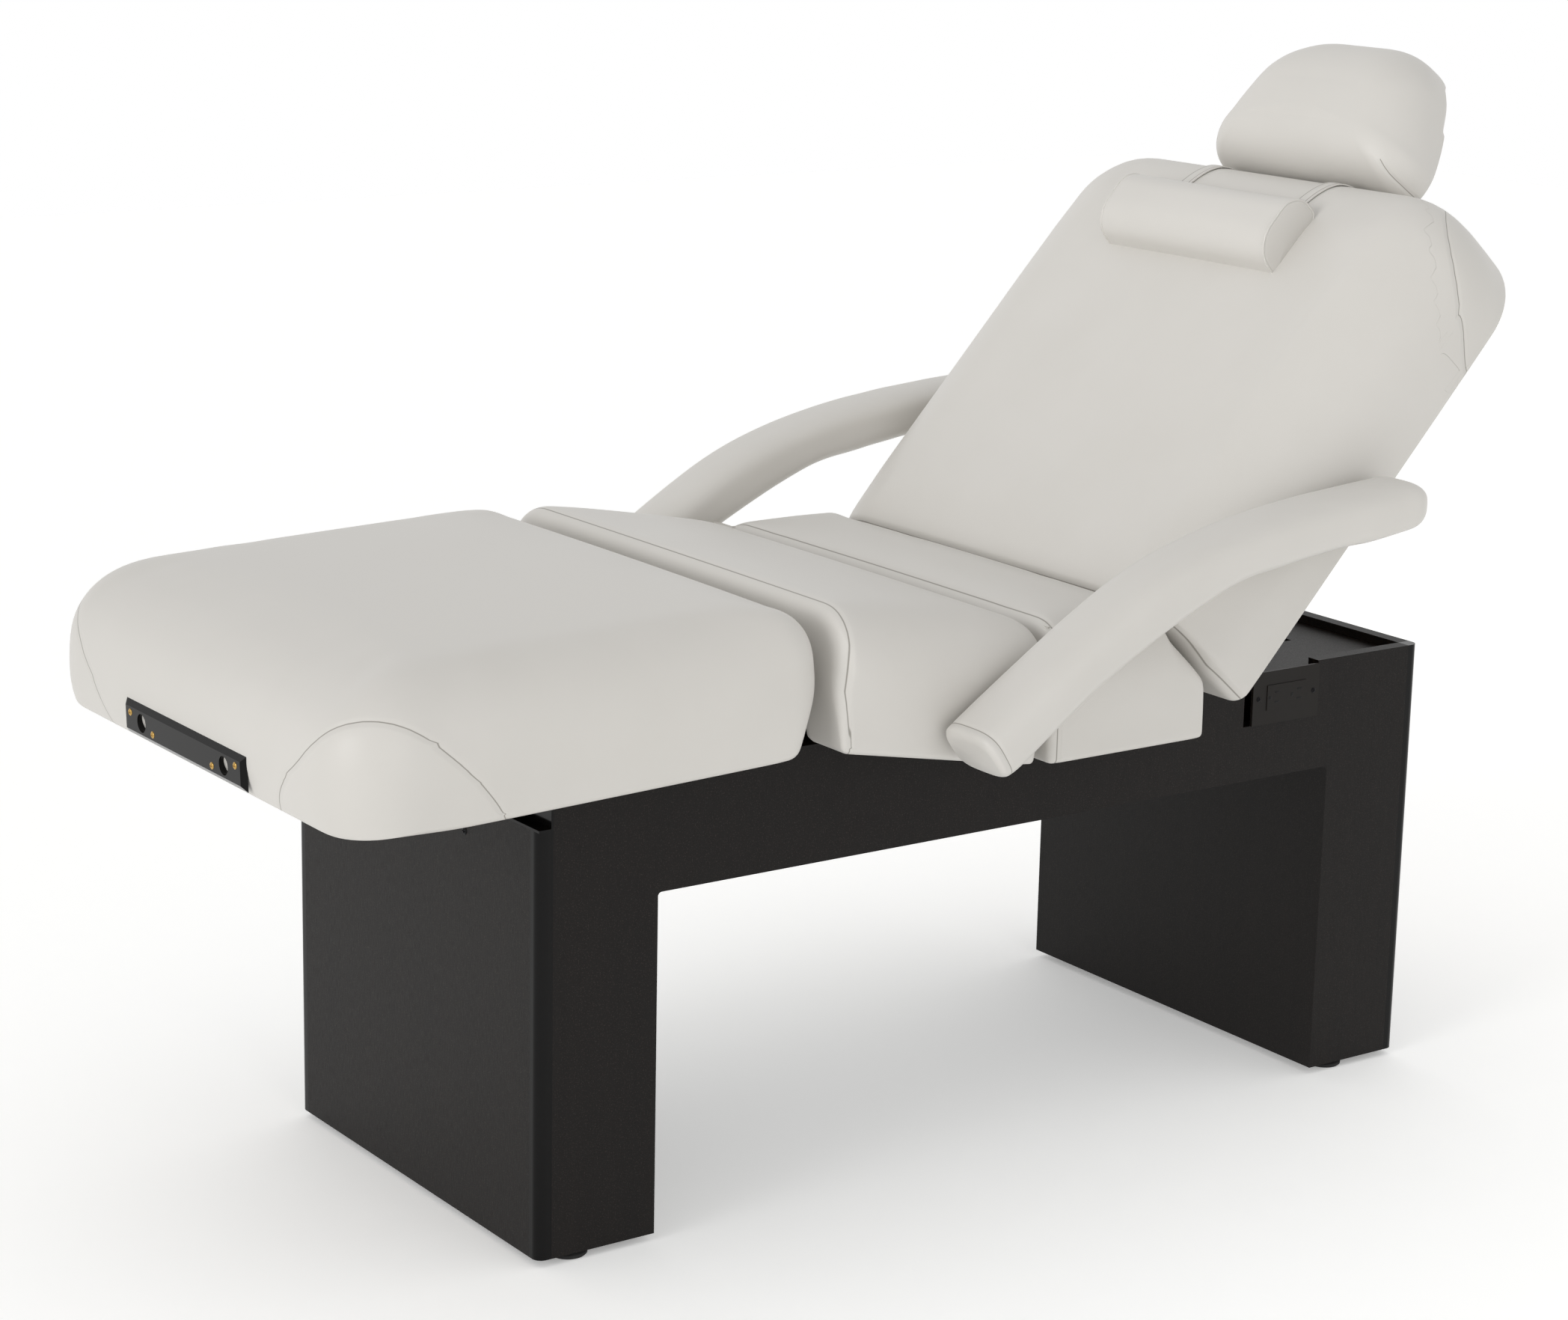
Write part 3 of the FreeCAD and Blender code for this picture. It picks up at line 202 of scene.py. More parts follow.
@dataclass(frozen=True)
class UpholsteryVinyl(Finish):
    """Calendered PVC vinyl on a knit backing: ivory, soft sheen, fine embossed grain, slim sewn seams.

    The seam attribute is the signed distance in metres from the nearest seam, so the folded-in line and its
    shade are drawn on the surface.

    Attributes:
        grain: Size of an embossed pebble in millimetres; real ones are near 0.8, drawn at 1.8 to show.
        cloud: Size of the slow tone changes in millimetres.
        crease: Half width of the seam line in millimetres.
        fold: Reach of the seam's folded-in edges in millimetres.
        seam_shade: Painted shade in the seam line's groove as sRGB hex.
    """

    grain: float = 1.8
    cloud: float = 160.0
    crease: float = 1.1
    fold: float = 7.0
    seam_shade: str = "#8f8b84"

    def paint(self, tree: bpy.types.NodeTree, shader: bpy.types.Node, place: bpy.types.NodeSocket) -> None:
        """Draw slow tone changes, embossed grain and the folded-in seam line, darkened with painted shade."""
        cloud = add_node(tree, "ShaderNodeTexNoise", {"Vector": place, "Scale": 1000 / self.cloud, "Detail": 3.0})
        pebble = add_node(tree, "ShaderNodeTexVoronoi", {"Vector": place, "Scale": 1000 / self.grain,
                                                         "Randomness": 0.9}, feature="SMOOTH_F1")
        seam = add_node(tree, "ShaderNodeAttribute", attribute_name="seam")
        off = add_node(tree, "ShaderNodeMath", {0: seam.outputs["Fac"]}, operation="ABSOLUTE").outputs[0]
        line = add_node(tree, "ShaderNodeMapRange", {"Value": off, "From Min": 0.25 * self.crease * MM,
                                                     "From Max": self.crease * MM, "To Min": 1.0, "To Max": 0.0},
                        interpolation_type="SMOOTHSTEP").outputs["Result"]
        roll = add_node(tree, "ShaderNodeMapRange", {"Value": off, "From Min": 0.0, "From Max": self.fold * MM},
                        interpolation_type="SMOOTHSTEP").outputs["Result"]
        tone = self.mix(tree, cloud.outputs["Fac"], self.shade, self.ground)
        # the seam line is darkened towards this colour: painted shade in the seam's groove
        tone = self.mix(tree, line, tone, self.seam_shade)
        tree.links.new(tone, shader.inputs["Base Color"])
        self.ease_rough(tree, shader, cloud.outputs["Fac"])
        skin = add_node(tree, "ShaderNodeBump", {"Height": pebble.outputs["Distance"], "Strength": 0.10,
                                                 "Distance": 0.12 * MM})
        fold = add_node(tree, "ShaderNodeBump", {"Height": roll, "Strength": 0.55, "Distance": 1.6 * MM,
                                                 "Normal": skin.outputs["Normal"]})
        tree.links.new(fold.outputs["Normal"], shader.inputs["Normal"])
        shader.inputs["IOR"].default_value = 1.52
        shader.inputs["Sheen Weight"].default_value = 0.06
        shader.inputs["Sheen Roughness"].default_value = 0.5


@dataclass(frozen=True)
class Laminate(Finish):
    """Espresso high-pressure laminate on board: near black brown, satin, fine pressed pores.

    Attributes:
        pore: Width of a pressed pore in millimetres; real ones are near 0.3, drawn at 1.2 to show.
        figure: Width of the slow wood figure in millimetres.
        speck: Size of the pale specks in millimetres.
        fleck: Colour of the specks as sRGB hex.
    """

    pore: float = 1.2
    figure: float = 22.0
    speck: float = 1.6
    fleck: str = "#463e38"

    def paint(self, tree: bpy.types.NodeTree, shader: bpy.types.Node, place: bpy.types.NodeSocket) -> None:
        """Draw upright figure and short upright pores, and let them set the sheen."""
        tall = add_node(tree, "ShaderNodeMapping", {"Vector": place, "Scale": (1.0, 1.0, 0.09)}).outputs[0]
        figure = add_node(tree, "ShaderNodeTexNoise", {"Vector": tall, "Scale": 1000 / self.figure, "Detail": 5.0,
                                                       "Distortion": 0.6})
        pores = add_node(tree, "ShaderNodeTexNoise", {"Vector": tall, "Scale": 1000 / self.pore, "Detail": 2.0})
        speck = add_node(tree, "ShaderNodeTexNoise", {"Vector": place, "Scale": 1000 / self.speck, "Detail": 1.0})
        tone = self.mix(tree, figure.outputs["Fac"], self.ground, self.shade)
        dots = add_node(tree, "ShaderNodeMapRange", {"Value": speck.outputs["Fac"], "From Min": 0.58,
                                                     "From Max": 0.74, "To Max": 0.35}).outputs["Result"]
        tone = self.mix(tree, dots, tone, self.fleck)
        tree.links.new(tone, shader.inputs["Base Color"])
        self.ease_rough(tree, shader, pores.outputs["Fac"])
        bump = add_node(tree, "ShaderNodeBump", {"Height": pores.outputs["Fac"], "Strength": 0.12,
                                                 "Distance": 0.15 * MM})
        tree.links.new(bump.outputs["Normal"], shader.inputs["Normal"])
        shader.inputs["Specular IOR Level"].default_value = 0.18


@dataclass(frozen=True)
class Moulding(Finish):
    """Moulded or coated skin with a fine even texture: plastics, rubber and powder coat.

    Attributes:
        grit: Size of the skin's texture in millimetres, drawn no finer than shows.
        depth: Height of that texture in millimetres.
        coat: Weight of a clear top coat.
        shine: Strength of the mirror reflection; 0.5 is plain plastic.
        glow: Light that a backlit skin gives off.
    """

    grit: float = 2.0
    depth: float = 0.1
    coat: float = 0.0
    shine: float = 0.5
    glow: float = 0.0

    def paint(self, tree: bpy.types.NodeTree, shader: bpy.types.Node, place: bpy.types.NodeSocket) -> None:
        """Draw an even grit in the skin and a slow change of tone, as handling leaves."""
        grit = add_node(tree, "ShaderNodeTexNoise", {"Vector": place, "Scale": 1000 / self.grit, "Detail": 2.0})
        slow = add_node(tree, "ShaderNodeTexNoise", {"Vector": place, "Scale": 1000 / 60, "Detail": 3.0})
        tree.links.new(self.mix(tree, slow.outputs["Fac"], self.ground, self.shade), shader.inputs["Base Color"])
        self.ease_rough(tree, shader, slow.outputs["Fac"])
        bump = add_node(tree, "ShaderNodeBump", {"Height": grit.outputs["Fac"], "Strength": 0.25,
                                                 "Distance": self.depth * MM})
        tree.links.new(bump.outputs["Normal"], shader.inputs["Normal"])
        shader.inputs["Specular IOR Level"].default_value = self.shine
        shader.inputs["Coat Weight"].default_value = self.coat
        shader.inputs["Coat Roughness"].default_value = 0.08
        shader.inputs["Emission Color"].default_value = linear(self.ground)
        shader.inputs["Emission Strength"].default_value = self.glow


@dataclass(frozen=True)
class WorkedMetal(Finish):
    """Bare or plated metal with fine draw lines from the die or the wheel.

    Attributes:
        lines: Spacing of the draw lines in millimetres; real ones are near 0.1, drawn coarser to show.
        stretch: Scale of the pattern along x, y and z, small along the lines.
    """

    lines: float = 1.0
    stretch: tuple[float, float, float] = (0.03, 1.0, 1.0)

    def paint(self, tree: bpy.types.NodeTree, shader: bpy.types.Node, place: bpy.types.NodeSocket) -> None:
        """Draw lines along the metal that shift its tone and its gloss."""
        drawn = add_node(tree, "ShaderNodeMapping", {"Vector": place, "Scale": self.stretch}).outputs[0]
        lines = add_node(tree, "ShaderNodeTexNoise", {"Vector": drawn, "Scale": 1000 / self.lines, "Detail": 3.0})
        tone = self.mix(tree, lines.outputs["Fac"], self.ground, self.shade)
        tree.links.new(tone, shader.inputs["Base Color"])
        self.ease_rough(tree, shader, lines.outputs["Fac"])
        bump = add_node(tree, "ShaderNodeBump", {"Height": lines.outputs["Fac"], "Strength": 0.08,
                                                 "Distance": 0.05 * MM})
        tree.links.new(bump.outputs["Normal"], shader.inputs["Normal"])


@dataclass(frozen=True)
class Plywood(Finish):
    """Birch plywood: pale flame figure on the faces, thin brown glue lines along the edges.

    Attributes:
        ply: Thickness of a ply in millimetres.
        figure: Width of the face figure in millimetres.
        glue: Colour of the glue lines as sRGB hex.
    """

    ply: float = 3.0
    figure: float = 14.0
    glue: str = "#7a5a3c"

    def paint(self, tree: bpy.types.NodeTree, shader: bpy.types.Node, place: bpy.types.NodeSocket) -> None:
        """Draw long figure along the board and level glue lines through its thickness."""
        long = add_node(tree, "ShaderNodeMapping", {"Vector": place, "Scale": (0.08, 1.0, 1.0)}).outputs[0]
        figure = add_node(tree, "ShaderNodeTexNoise", {"Vector": long, "Scale": 1000 / self.figure, "Detail": 5.0,
                                                       "Distortion": 0.8})
        plies = add_node(tree, "ShaderNodeTexWave", {"Vector": place, "Scale": 1000 / self.ply / 20,
                                                     "Distortion": 0.4}, bands_direction="Z")
        tone = self.mix(tree, figure.outputs["Fac"], self.ground, self.shade)
        glue = add_node(tree, "ShaderNodeMapRange", {"Value": plies.outputs["Fac"], "From Min": 0.82,
                                                     "From Max": 0.95, "To Max": 0.5}).outputs["Result"]
        tree.links.new(self.mix(tree, glue, tone, self.glue), shader.inputs["Base Color"])
        self.ease_rough(tree, shader, figure.outputs["Fac"])
        bump = add_node(tree, "ShaderNodeBump", {"Height": figure.outputs["Fac"], "Strength": 0.15,
                                                 "Distance": 0.2 * MM})
        tree.links.new(bump.outputs["Normal"], shader.inputs["Normal"])


VINYL = UpholsteryVinyl("ivory upholstery vinyl", "#cecbc6", "#c6c3bd", (0.42, 0.52))
LAMINATE = Laminate("espresso laminate", "#0e0c0b", "#161210", (0.42, 0.54))
GLOSS_EDGE = Moulding("polished black acrylic edging", "#070707", "#0c0b0b", (0.10, 0.16), grit=14.0, depth=0.05,
                      coat=0.08, shine=0.12)
DEVICE = Moulding("dark nylon wiring device", "#15120f", "#1c1815", (0.42, 0.52), grit=1.4, depth=0.08, shine=0.2)
POWDER_COAT = Moulding("black powder-coated steel", "#171717", "#1f1f1f", (0.40, 0.5), grit=2.2, depth=0.12)
IVORY_COAT = Moulding("ivory powder-coated steel", "#c9c6c0", "#c2bfb9", (0.45, 0.55), grit=2.2, depth=0.12)
RUBBER = Moulding("moulded rubber", "#0f0f0f", "#171615", (0.7, 0.85), grit=1.6, depth=0.15)
# near-black painted shade for the insides of the sockets and the outlet's slots, where only shade shows
SOCKET_SHADE = Moulding("painted shade for socket bores and slots", "#030303", "#060606", (0.8, 0.95), grit=2.0, depth=0.1)
STEEL = WorkedMetal("drawn bright steel", "#b9bab8", "#d2d2cf", (0.22, 0.34), 1.0, 0.9)
CHROME = WorkedMetal("polished chrome plate", "#c9cacb", "#dcdcdc", (0.06, 0.12), 1.0, 1.6)
BRASS = WorkedMetal("turned brass", "#b08d4a", "#c7a566", (0.20, 0.32), 1.0, 0.8, (1.0, 1.0, 1.0))
DARK_ALLOY = WorkedMetal("black anodised aluminium", "#1c1c1d", "#262627", (0.34, 0.44), 1.0, 1.2)
BIRCH = Plywood("birch plywood", "#c9a679", "#b48a5b", (0.55, 0.7))


# Surfaces, as whole arrays of points


def smoothstep(value: Array, low: float, high: float) -> Array:
    """Ease from 0 to 1 as a value goes from low to high: t*t*(3-2t)."""
    t = np.clip((value - low) / (high - low), 0, 1)
    return t * t * (3 - 2 * t)


def eased_outline(corners: Sequence[tuple[float, float, float]], step: float, turns: int = 10) -> Array:
    """Draw a closed outline whose corners are eased.

    Between its two tangent points each corner is the curve
    (1-s)^2 (corner - ease*in) + 2 s (1-s) corner + s^2 (corner + ease*out), and the runs between are straight.

    Args:
        corners: First place, second place and ease of each corner, counter-clockwise or clockwise.
        step: Longest spacing along a straight run.
        turns: Points on each eased corner.

    Returns:
        The outline's points, one row each.
    """
    data = np.array(corners, float)
    spot, ease = data[:, :2], data[:, 2:]
    ahead = np.roll(spot, -1, 0) - spot
    ahead /= np.linalg.norm(ahead, axis=1, keepdims=True)
    before = np.roll(ahead, 1, 0)
    s = np.linspace(0, 1, turns)[None, :, None]
    start, end = (spot - ease * before)[:, None], (spot + ease * ahead)[:, None]
    bends = (1 - s) ** 2 * start + 2 * s * (1 - s) * spot[:, None] + s ** 2 * end
    gaps = np.linalg.norm(np.roll(start[:, 0], -1, 0) - end[:, 0], axis=1)
    parts = []
    for bend, reach, nxt in zip(bends, gaps, np.roll(start[:, 0], -1, 0)):
        share = np.linspace(0, 1, max(int(reach / step), 1) + 1)[1:-1, None]
        parts += [bend, bend[-1] + share * (nxt - bend[-1])]
    loop = np.concatenate(parts)
    keep = np.linalg.norm(loop - np.roll(loop, 1, 0), axis=1) > 1e-6
    return loop[keep]


def outward(loop: Array) -> Array:
    """Give the unit normals of a closed outline, pointing away from its inside.

    Args:
        loop: Points of the outline.

    Returns:
        One normal for each point, square to the chord between its neighbours.
    """
    chord = np.roll(loop, -1, 0) - np.roll(loop, 1, 0)
    normal = np.stack([chord[:, 1], -chord[:, 0]], 1) / np.linalg.norm(chord, axis=1, keepdims=True)
    nxt = np.roll(loop, -1, 0)
    area = np.sum(loop[:, 0] * nxt[:, 1] - nxt[:, 0] * loop[:, 1])
    return normal * np.sign(area)


def ring_faces(rings: int, count: int) -> Array:
    """Join neighbouring rings of a closed loop with quads.

    Args:
        rings: Number of rings.
        count: Points in each ring.

    Returns:
        Four point numbers for each quad.
    """
    here = np.arange(rings * count).reshape(rings, count)
    side = np.roll(here, -1, 1)
    return np.stack([here[:-1], side[:-1], side[1:], here[1:]], -1).reshape(-1, 4)


@dataclass(frozen=True)
class Rim:
    """How far the end of a lofted pad rolls in at each side of its outline, in millimetres."""

    low_first: float
    high_first: float
    low_second: float
    high_second: float

    def shift(self, loop: Array) -> Array:
        """Give each outline point's way to its inner copy.

        From each side of the outline's box the shift is size*(1-t)^2, t running from 0 at that side to 1 at
        2.2 sizes in, so that the inner outline keeps its order and never crosses itself.

        Args:
            loop: Outline points.

        Returns:
            Shifts, one row for each point.
        """
        low, high = loop.min(0), loop.max(0)
        size_low = np.array([self.low_first, self.low_second])
        size_high = np.array([self.high_first, self.high_second])
        near = np.clip((loop - low) / (2.2 * size_low), 0, 1)
        far = np.clip((high - loop) / (2.2 * size_high), 0, 1)
        return size_low * (1 - near) ** 2 - size_high * (1 - far) ** 2


def drawn_in(loop: Array, size: float) -> Array:
    """Give the way from each outline point to a copy drawn in by a size: -size * offset / half, on each axis.

    Args:
        loop: Outline points.
        size: How far the copy lies inside at the four sides of the outline's box.

    Returns:
        Shifts, one row for each point.
    """
    middle, half = (loop.max(0) + loop.min(0)) / 2, (loop.max(0) - loop.min(0)) / 2
    return -size * (loop - middle) / half


def padded_loft(loop: Array, limits: tuple[float, float], shifts: tuple[Array, Array], depths: tuple[Array, Array],
                shares: Array, bulge: tuple[float, float] = (0.0, 0.0), rolls: int = 9, caps: int = 9) -> Array:
    """Carry an outline along a third axis, roll it in at both ends and close it with bulged caps.

    Along the body the height is a share of the way between the rims. At an end the outline goes to its inner
    copy by 1-cos(a) while the height goes to the limit by sin(a), a quarter turn. A cap is the inner outline
    drawn to its middle by k, with the height raised by bulge*(1-k^2).

    Args:
        loop: Outline points.
        limits: Lowest and highest height.
        shifts: Way from each outline point to its inner copy, at the low end and at the high end.
        depths: Height that the roll takes at each outline point, at both ends.
        shares: Places along the body, from 0 to 1.
        bulge: How far the low and the high cap stand proud.
        rolls: Rings in each rolled end.
        caps: Rings in each cap.

    Returns:
        Rings of points: outline's first place, outline's second place, height.
    """
    bottom, top = limits[0] + depths[0], limits[1] - depths[1]
    heights = bottom + shares[:, None] * (top - bottom)
    body = np.concatenate([np.broadcast_to(loop, (len(shares),) + loop.shape), heights[..., None]], 2)
    ends = []
    for shift, depth, limit, sign, swell in zip(shifts, depths, limits, (-1, 1), bulge):
        turn = np.linspace(0, np.pi / 2, rolls)[1:, None]
        inner = loop + shift
        rolled = loop + shift * (1 - np.cos(turn))[..., None]
        height = limit - sign * depth * (1 - np.sin(turn))
        roll = np.concatenate([rolled, height[..., None]], 2)
        k = np.linspace(1, 0, caps)[1:, None, None]
        middle = inner.mean(0)
        flat = middle + k * (inner - middle)
        lift = np.broadcast_to(limit + sign * swell * (1 - k ** 2), flat[..., :1].shape)
        ends.append(np.concatenate([roll, np.concatenate([flat, lift], 2)], 0))
    return np.concatenate([ends[0][::-1], body, ends[1]], 0)


def carried_ring(path: Array, across: Array, up: Array, section: Array) -> Array:
    """Carry a section along a path: each ring is path + section's first place * across + its second * up.

    Args:
        path: Points of the path.
        across: Direction of the section's first axis at each point.
        up: Direction of the section's second axis at each point.
        section: Section points, the same for all rings, or one set for each.

    Returns:
        Rings of points.
    """
    shape = np.broadcast_to(section, (len(path),) + section.shape[-2:])
    return path[:, None] + shape[..., :1] * across[:, None] + shape[..., 1:] * up[:, None]


def flowing(points: Sequence[Sequence[float]], count: int) -> Array:
    """Draw a smooth curve through points with even spacing.

    Between two points it is the cubic whose slopes are half the step between their neighbours.

    Args:
        points: Places that the curve goes through.
        count: Points wanted.

    Returns:
        The curve's points.
    """
    spot = np.array(points, float)
    slope = np.gradient(spot, axis=0)
    s = np.linspace(0, 1, 24, endpoint=False)[None, :, None]
    a, b, u, v = spot[:-1, None], spot[1:, None], slope[:-1, None], slope[1:, None]
    fine = (2 * s ** 3 - 3 * s ** 2 + 1) * a + (s ** 3 - 2 * s ** 2 + s) * u
    fine = fine + (3 * s ** 2 - 2 * s ** 3) * b + (s ** 3 - s ** 2) * v
    fine = np.concatenate([fine.reshape(-1, spot.shape[1]), spot[-1:]])
    run = np.concatenate([[0], np.cumsum(np.linalg.norm(np.diff(fine, axis=0), axis=1))])
    want = np.linspace(0, run[-1], count)
    return np.stack([np.interp(want, run, fine[:, i]) for i in range(fine.shape[1])], 1)


def screw_head(radius: float, rise: float, slot: float) -> Array:
    """Draw a domed screw head with a cross recess, facing the third axis.

    The dome is rise*(1-(r/radius)^2), and where the lesser of |u| and |v| is under half the slot the recess
    takes it down by 0.8*rise.

    Args:
        radius: Radius of the head.
        rise: Height of the dome.
        slot: Width of the cross recess.

    Returns:
        Rings of points: across, up and out of the surface that carries it.
    """
    r = np.concatenate([np.linspace(0, radius, 22), [radius]])[:, None]
    angle = np.linspace(0, 2 * np.pi, 72, endpoint=False)[None]
    u, v = r * np.cos(angle), r * np.sin(angle)
    cross = smoothstep(slot / 2 - np.minimum(np.abs(u), np.abs(v)), -0.15, 0.15)
    out = rise * (1 - (r / radius) ** 2) + 0.4 - 0.8 * rise * cross * smoothstep(0.62 * radius - r, -0.15, 0.15)
    out[-1] = -0.2
    return np.stack([u, v, out], 2)


def inlay(loop: Array, proud: float) -> Array:
    """Carry an outline from just under a surface to just over it, with a flat top.

    Args:
        loop: Outline points.
        proud: Height over the surface.

    Returns:
        Rings of points: across, up and out of the surface.
    """
    none, flat = np.zeros_like(loop), np.zeros(len(loop))
    return padded_loft(loop, (-proud, proud), (none, none), (flat, flat), np.linspace(0, 1, 2), rolls=2, caps=3)


def set_on(rings: Array, spot: Sequence[float], across: Sequence[float], up: Sequence[float]) -> Array:
    """Set rings drawn across, up and outwards on a surface: spot + u*across + v*up + w*(across x up).

    Args:
        rings: Rings of points.
        spot: Place on the surface.
        across: Direction of the first axis.
        up: Direction of the second axis.

    Returns:
        The rings on the surface.
    """
    return rings @ np.stack([across, up, np.cross(across, up)]) + np.array(spot)


def seam_field(flat: Array, normals: Array, curve: Array, reach: float = 40.0, depth: float = 25.0) -> Array:
    """Give the signed distance of points from a seam that runs over a pad.

    At the nearest place on the seam the distance is the offset's share along (seam's direction) x (skin's normal).
    Points past an end of the seam, or beyond its reach or depth, are set far away.

    Args:
        flat: Points on the skin.
        normals: The skin's normals there.
        curve: Places that the seam goes through.
        reach: How far beside the seam it is felt, in millimetres.
        depth: How far over or under it.

    Returns:
        One distance for each point.
    """
    path = flowing(curve, 260)
    along = np.gradient(path, axis=0)
    along /= np.linalg.norm(along, axis=1, keepdims=True)
    gap = (flat ** 2).sum(1)[:, None] + (path ** 2).sum(1) - 2 * flat @ path.T
    near = gap.argmin(1)
    off = flat - path[near]
    run = (off * along[near]).sum(1)
    past = ((near == 0) & (run < 0)) | ((near == len(path) - 1) & (run > 0))
    side = np.cross(along[near], normals)
    side /= np.maximum(np.linalg.norm(side, axis=1, keepdims=True), 1e-6)
    signed = (off * side).sum(1)
    deep = np.linalg.norm(off - run[:, None] * along[near] - signed[:, None] * side, axis=1)
    return np.where(past | (deep > depth) | (np.abs(signed) > reach), FAR, signed)


def nearest_of(fields: Sequence[Array]) -> Array:
    """Keep, at each point, the signed distance that is the smallest."""
    every = np.stack(fields)
    return every[np.abs(every).argmin(0), np.arange(every.shape[1])]


def mirrored_seam(flat: Array, normals: Array, curve: Sequence[Sequence[float]]) -> Array:
    """Give the signed distance from a seam and its mirror image on the other side of the table.

    Args:
        flat: Points on the skin.
        normals: The skin's normals there.
        curve: Places that the seam goes through on the far side.

    Returns:
        One distance for each point.
    """
    mirrors = [np.array([1, side.value, 1]) for side in Side]
    return nearest_of([seam_field(flat, normals, np.array(curve) * mirror) for mirror in mirrors])


class Piece:
    """A mesh under construction in flat millimetres, then a finished object that rides on a body."""

    def __init__(self, name: str, shells: Sequence[Array], finish: Finish, slot: str) -> None:
        """Build the mesh from shells of rings and merge their closed ends.

        Args:
            name: Object name.
            shells: Rings of points in millimetres, flat, for each closed shell.
            finish: Finish of the whole piece.
            slot: The record's material slot that it stands for; not used.
        """
        mesh = bpy.data.meshes.new(name)
        points = np.concatenate([rings.reshape(-1, 3) for rings in shells]) * MM
        sizes = [rings.shape[0] * rings.shape[1] for rings in shells]
        starts = np.cumsum([0] + sizes[:-1])
        faces = np.concatenate([ring_faces(*rings.shape[:2]) + start for rings, start in zip(shells, starts)])
        mesh.from_pydata(points.tolist(), [], faces.tolist())
        shell = bmesh.new()
        shell.from_mesh(mesh)
        bmesh.ops.remove_doubles(shell, verts=shell.verts, dist=2e-6)
        bmesh.ops.dissolve_degenerate(shell, edges=shell.edges, dist=1e-7)
        bmesh.ops.recalc_face_normals(shell, faces=shell.faces)
        shell.to_mesh(mesh)
        shell.free()
        mesh.polygons.foreach_set("use_smooth", np.ones(len(mesh.polygons), bool))
        mesh.materials.append(finish.material())
        self.mesh = mesh
        self.object = bpy.data.objects.new(name, mesh)
        bpy.context.scene.collection.objects.link(self.object)
        self.mark("seam", np.ones(len(mesh.vertices)))

    @property
    def points(self) -> Array:
        """The mesh's points in millimetres."""
        flat = np.empty(len(self.mesh.vertices) * 3)
        self.mesh.vertices.foreach_get("co", flat)
        return flat.reshape(-1, 3) / MM

    @points.setter
    def points(self, places: Array) -> None:
        """Move the mesh's points."""
        self.mesh.vertices.foreach_set("co", (places * MM).ravel())
        self.mesh.update()

    @property
    def normals(self) -> Array:
        """The mesh's normals at its points."""
        flat = np.empty(len(self.mesh.vertices) * 3)
        self.mesh.vertices.foreach_get("normal", flat)
        return flat.reshape(-1, 3)

    def mark(self, name: str, values: Array) -> None:
        """Keep one number for each point as an attribute of the mesh."""
        found = self.mesh.attributes.get(name) or self.mesh.attributes.new(name, "FLOAT", "POINT")
        found.data.foreach_set("value", values.astype(np.float32))

    def refine(self, levels: int = 1) -> None:
        """Round the piece off with a subdivision surface."""
        smooth = self.object.modifiers.new("smooth", "SUBSURF")
        smooth.levels = smooth.render_levels = levels

    def settle(self, place: Place, body: str, nodes: Sequence[str] = ()) -> bpy.types.Object:
        """Turn the piece to its rest place, let it ride on a body and stand for its CAD nodes.

        Args:
            place: Rest place.
            body: CAD body that it moves with.
            nodes: CAD nodes that it stands for.

        Returns:
            The finished object.
        """
        self.points = place.row(self.points)
        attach(self.object, body)
        if nodes:
            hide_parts(*nodes)
        log.info("%s: %d faces on %s", self.object.name, len(self.mesh.polygons), body)
        return self.object


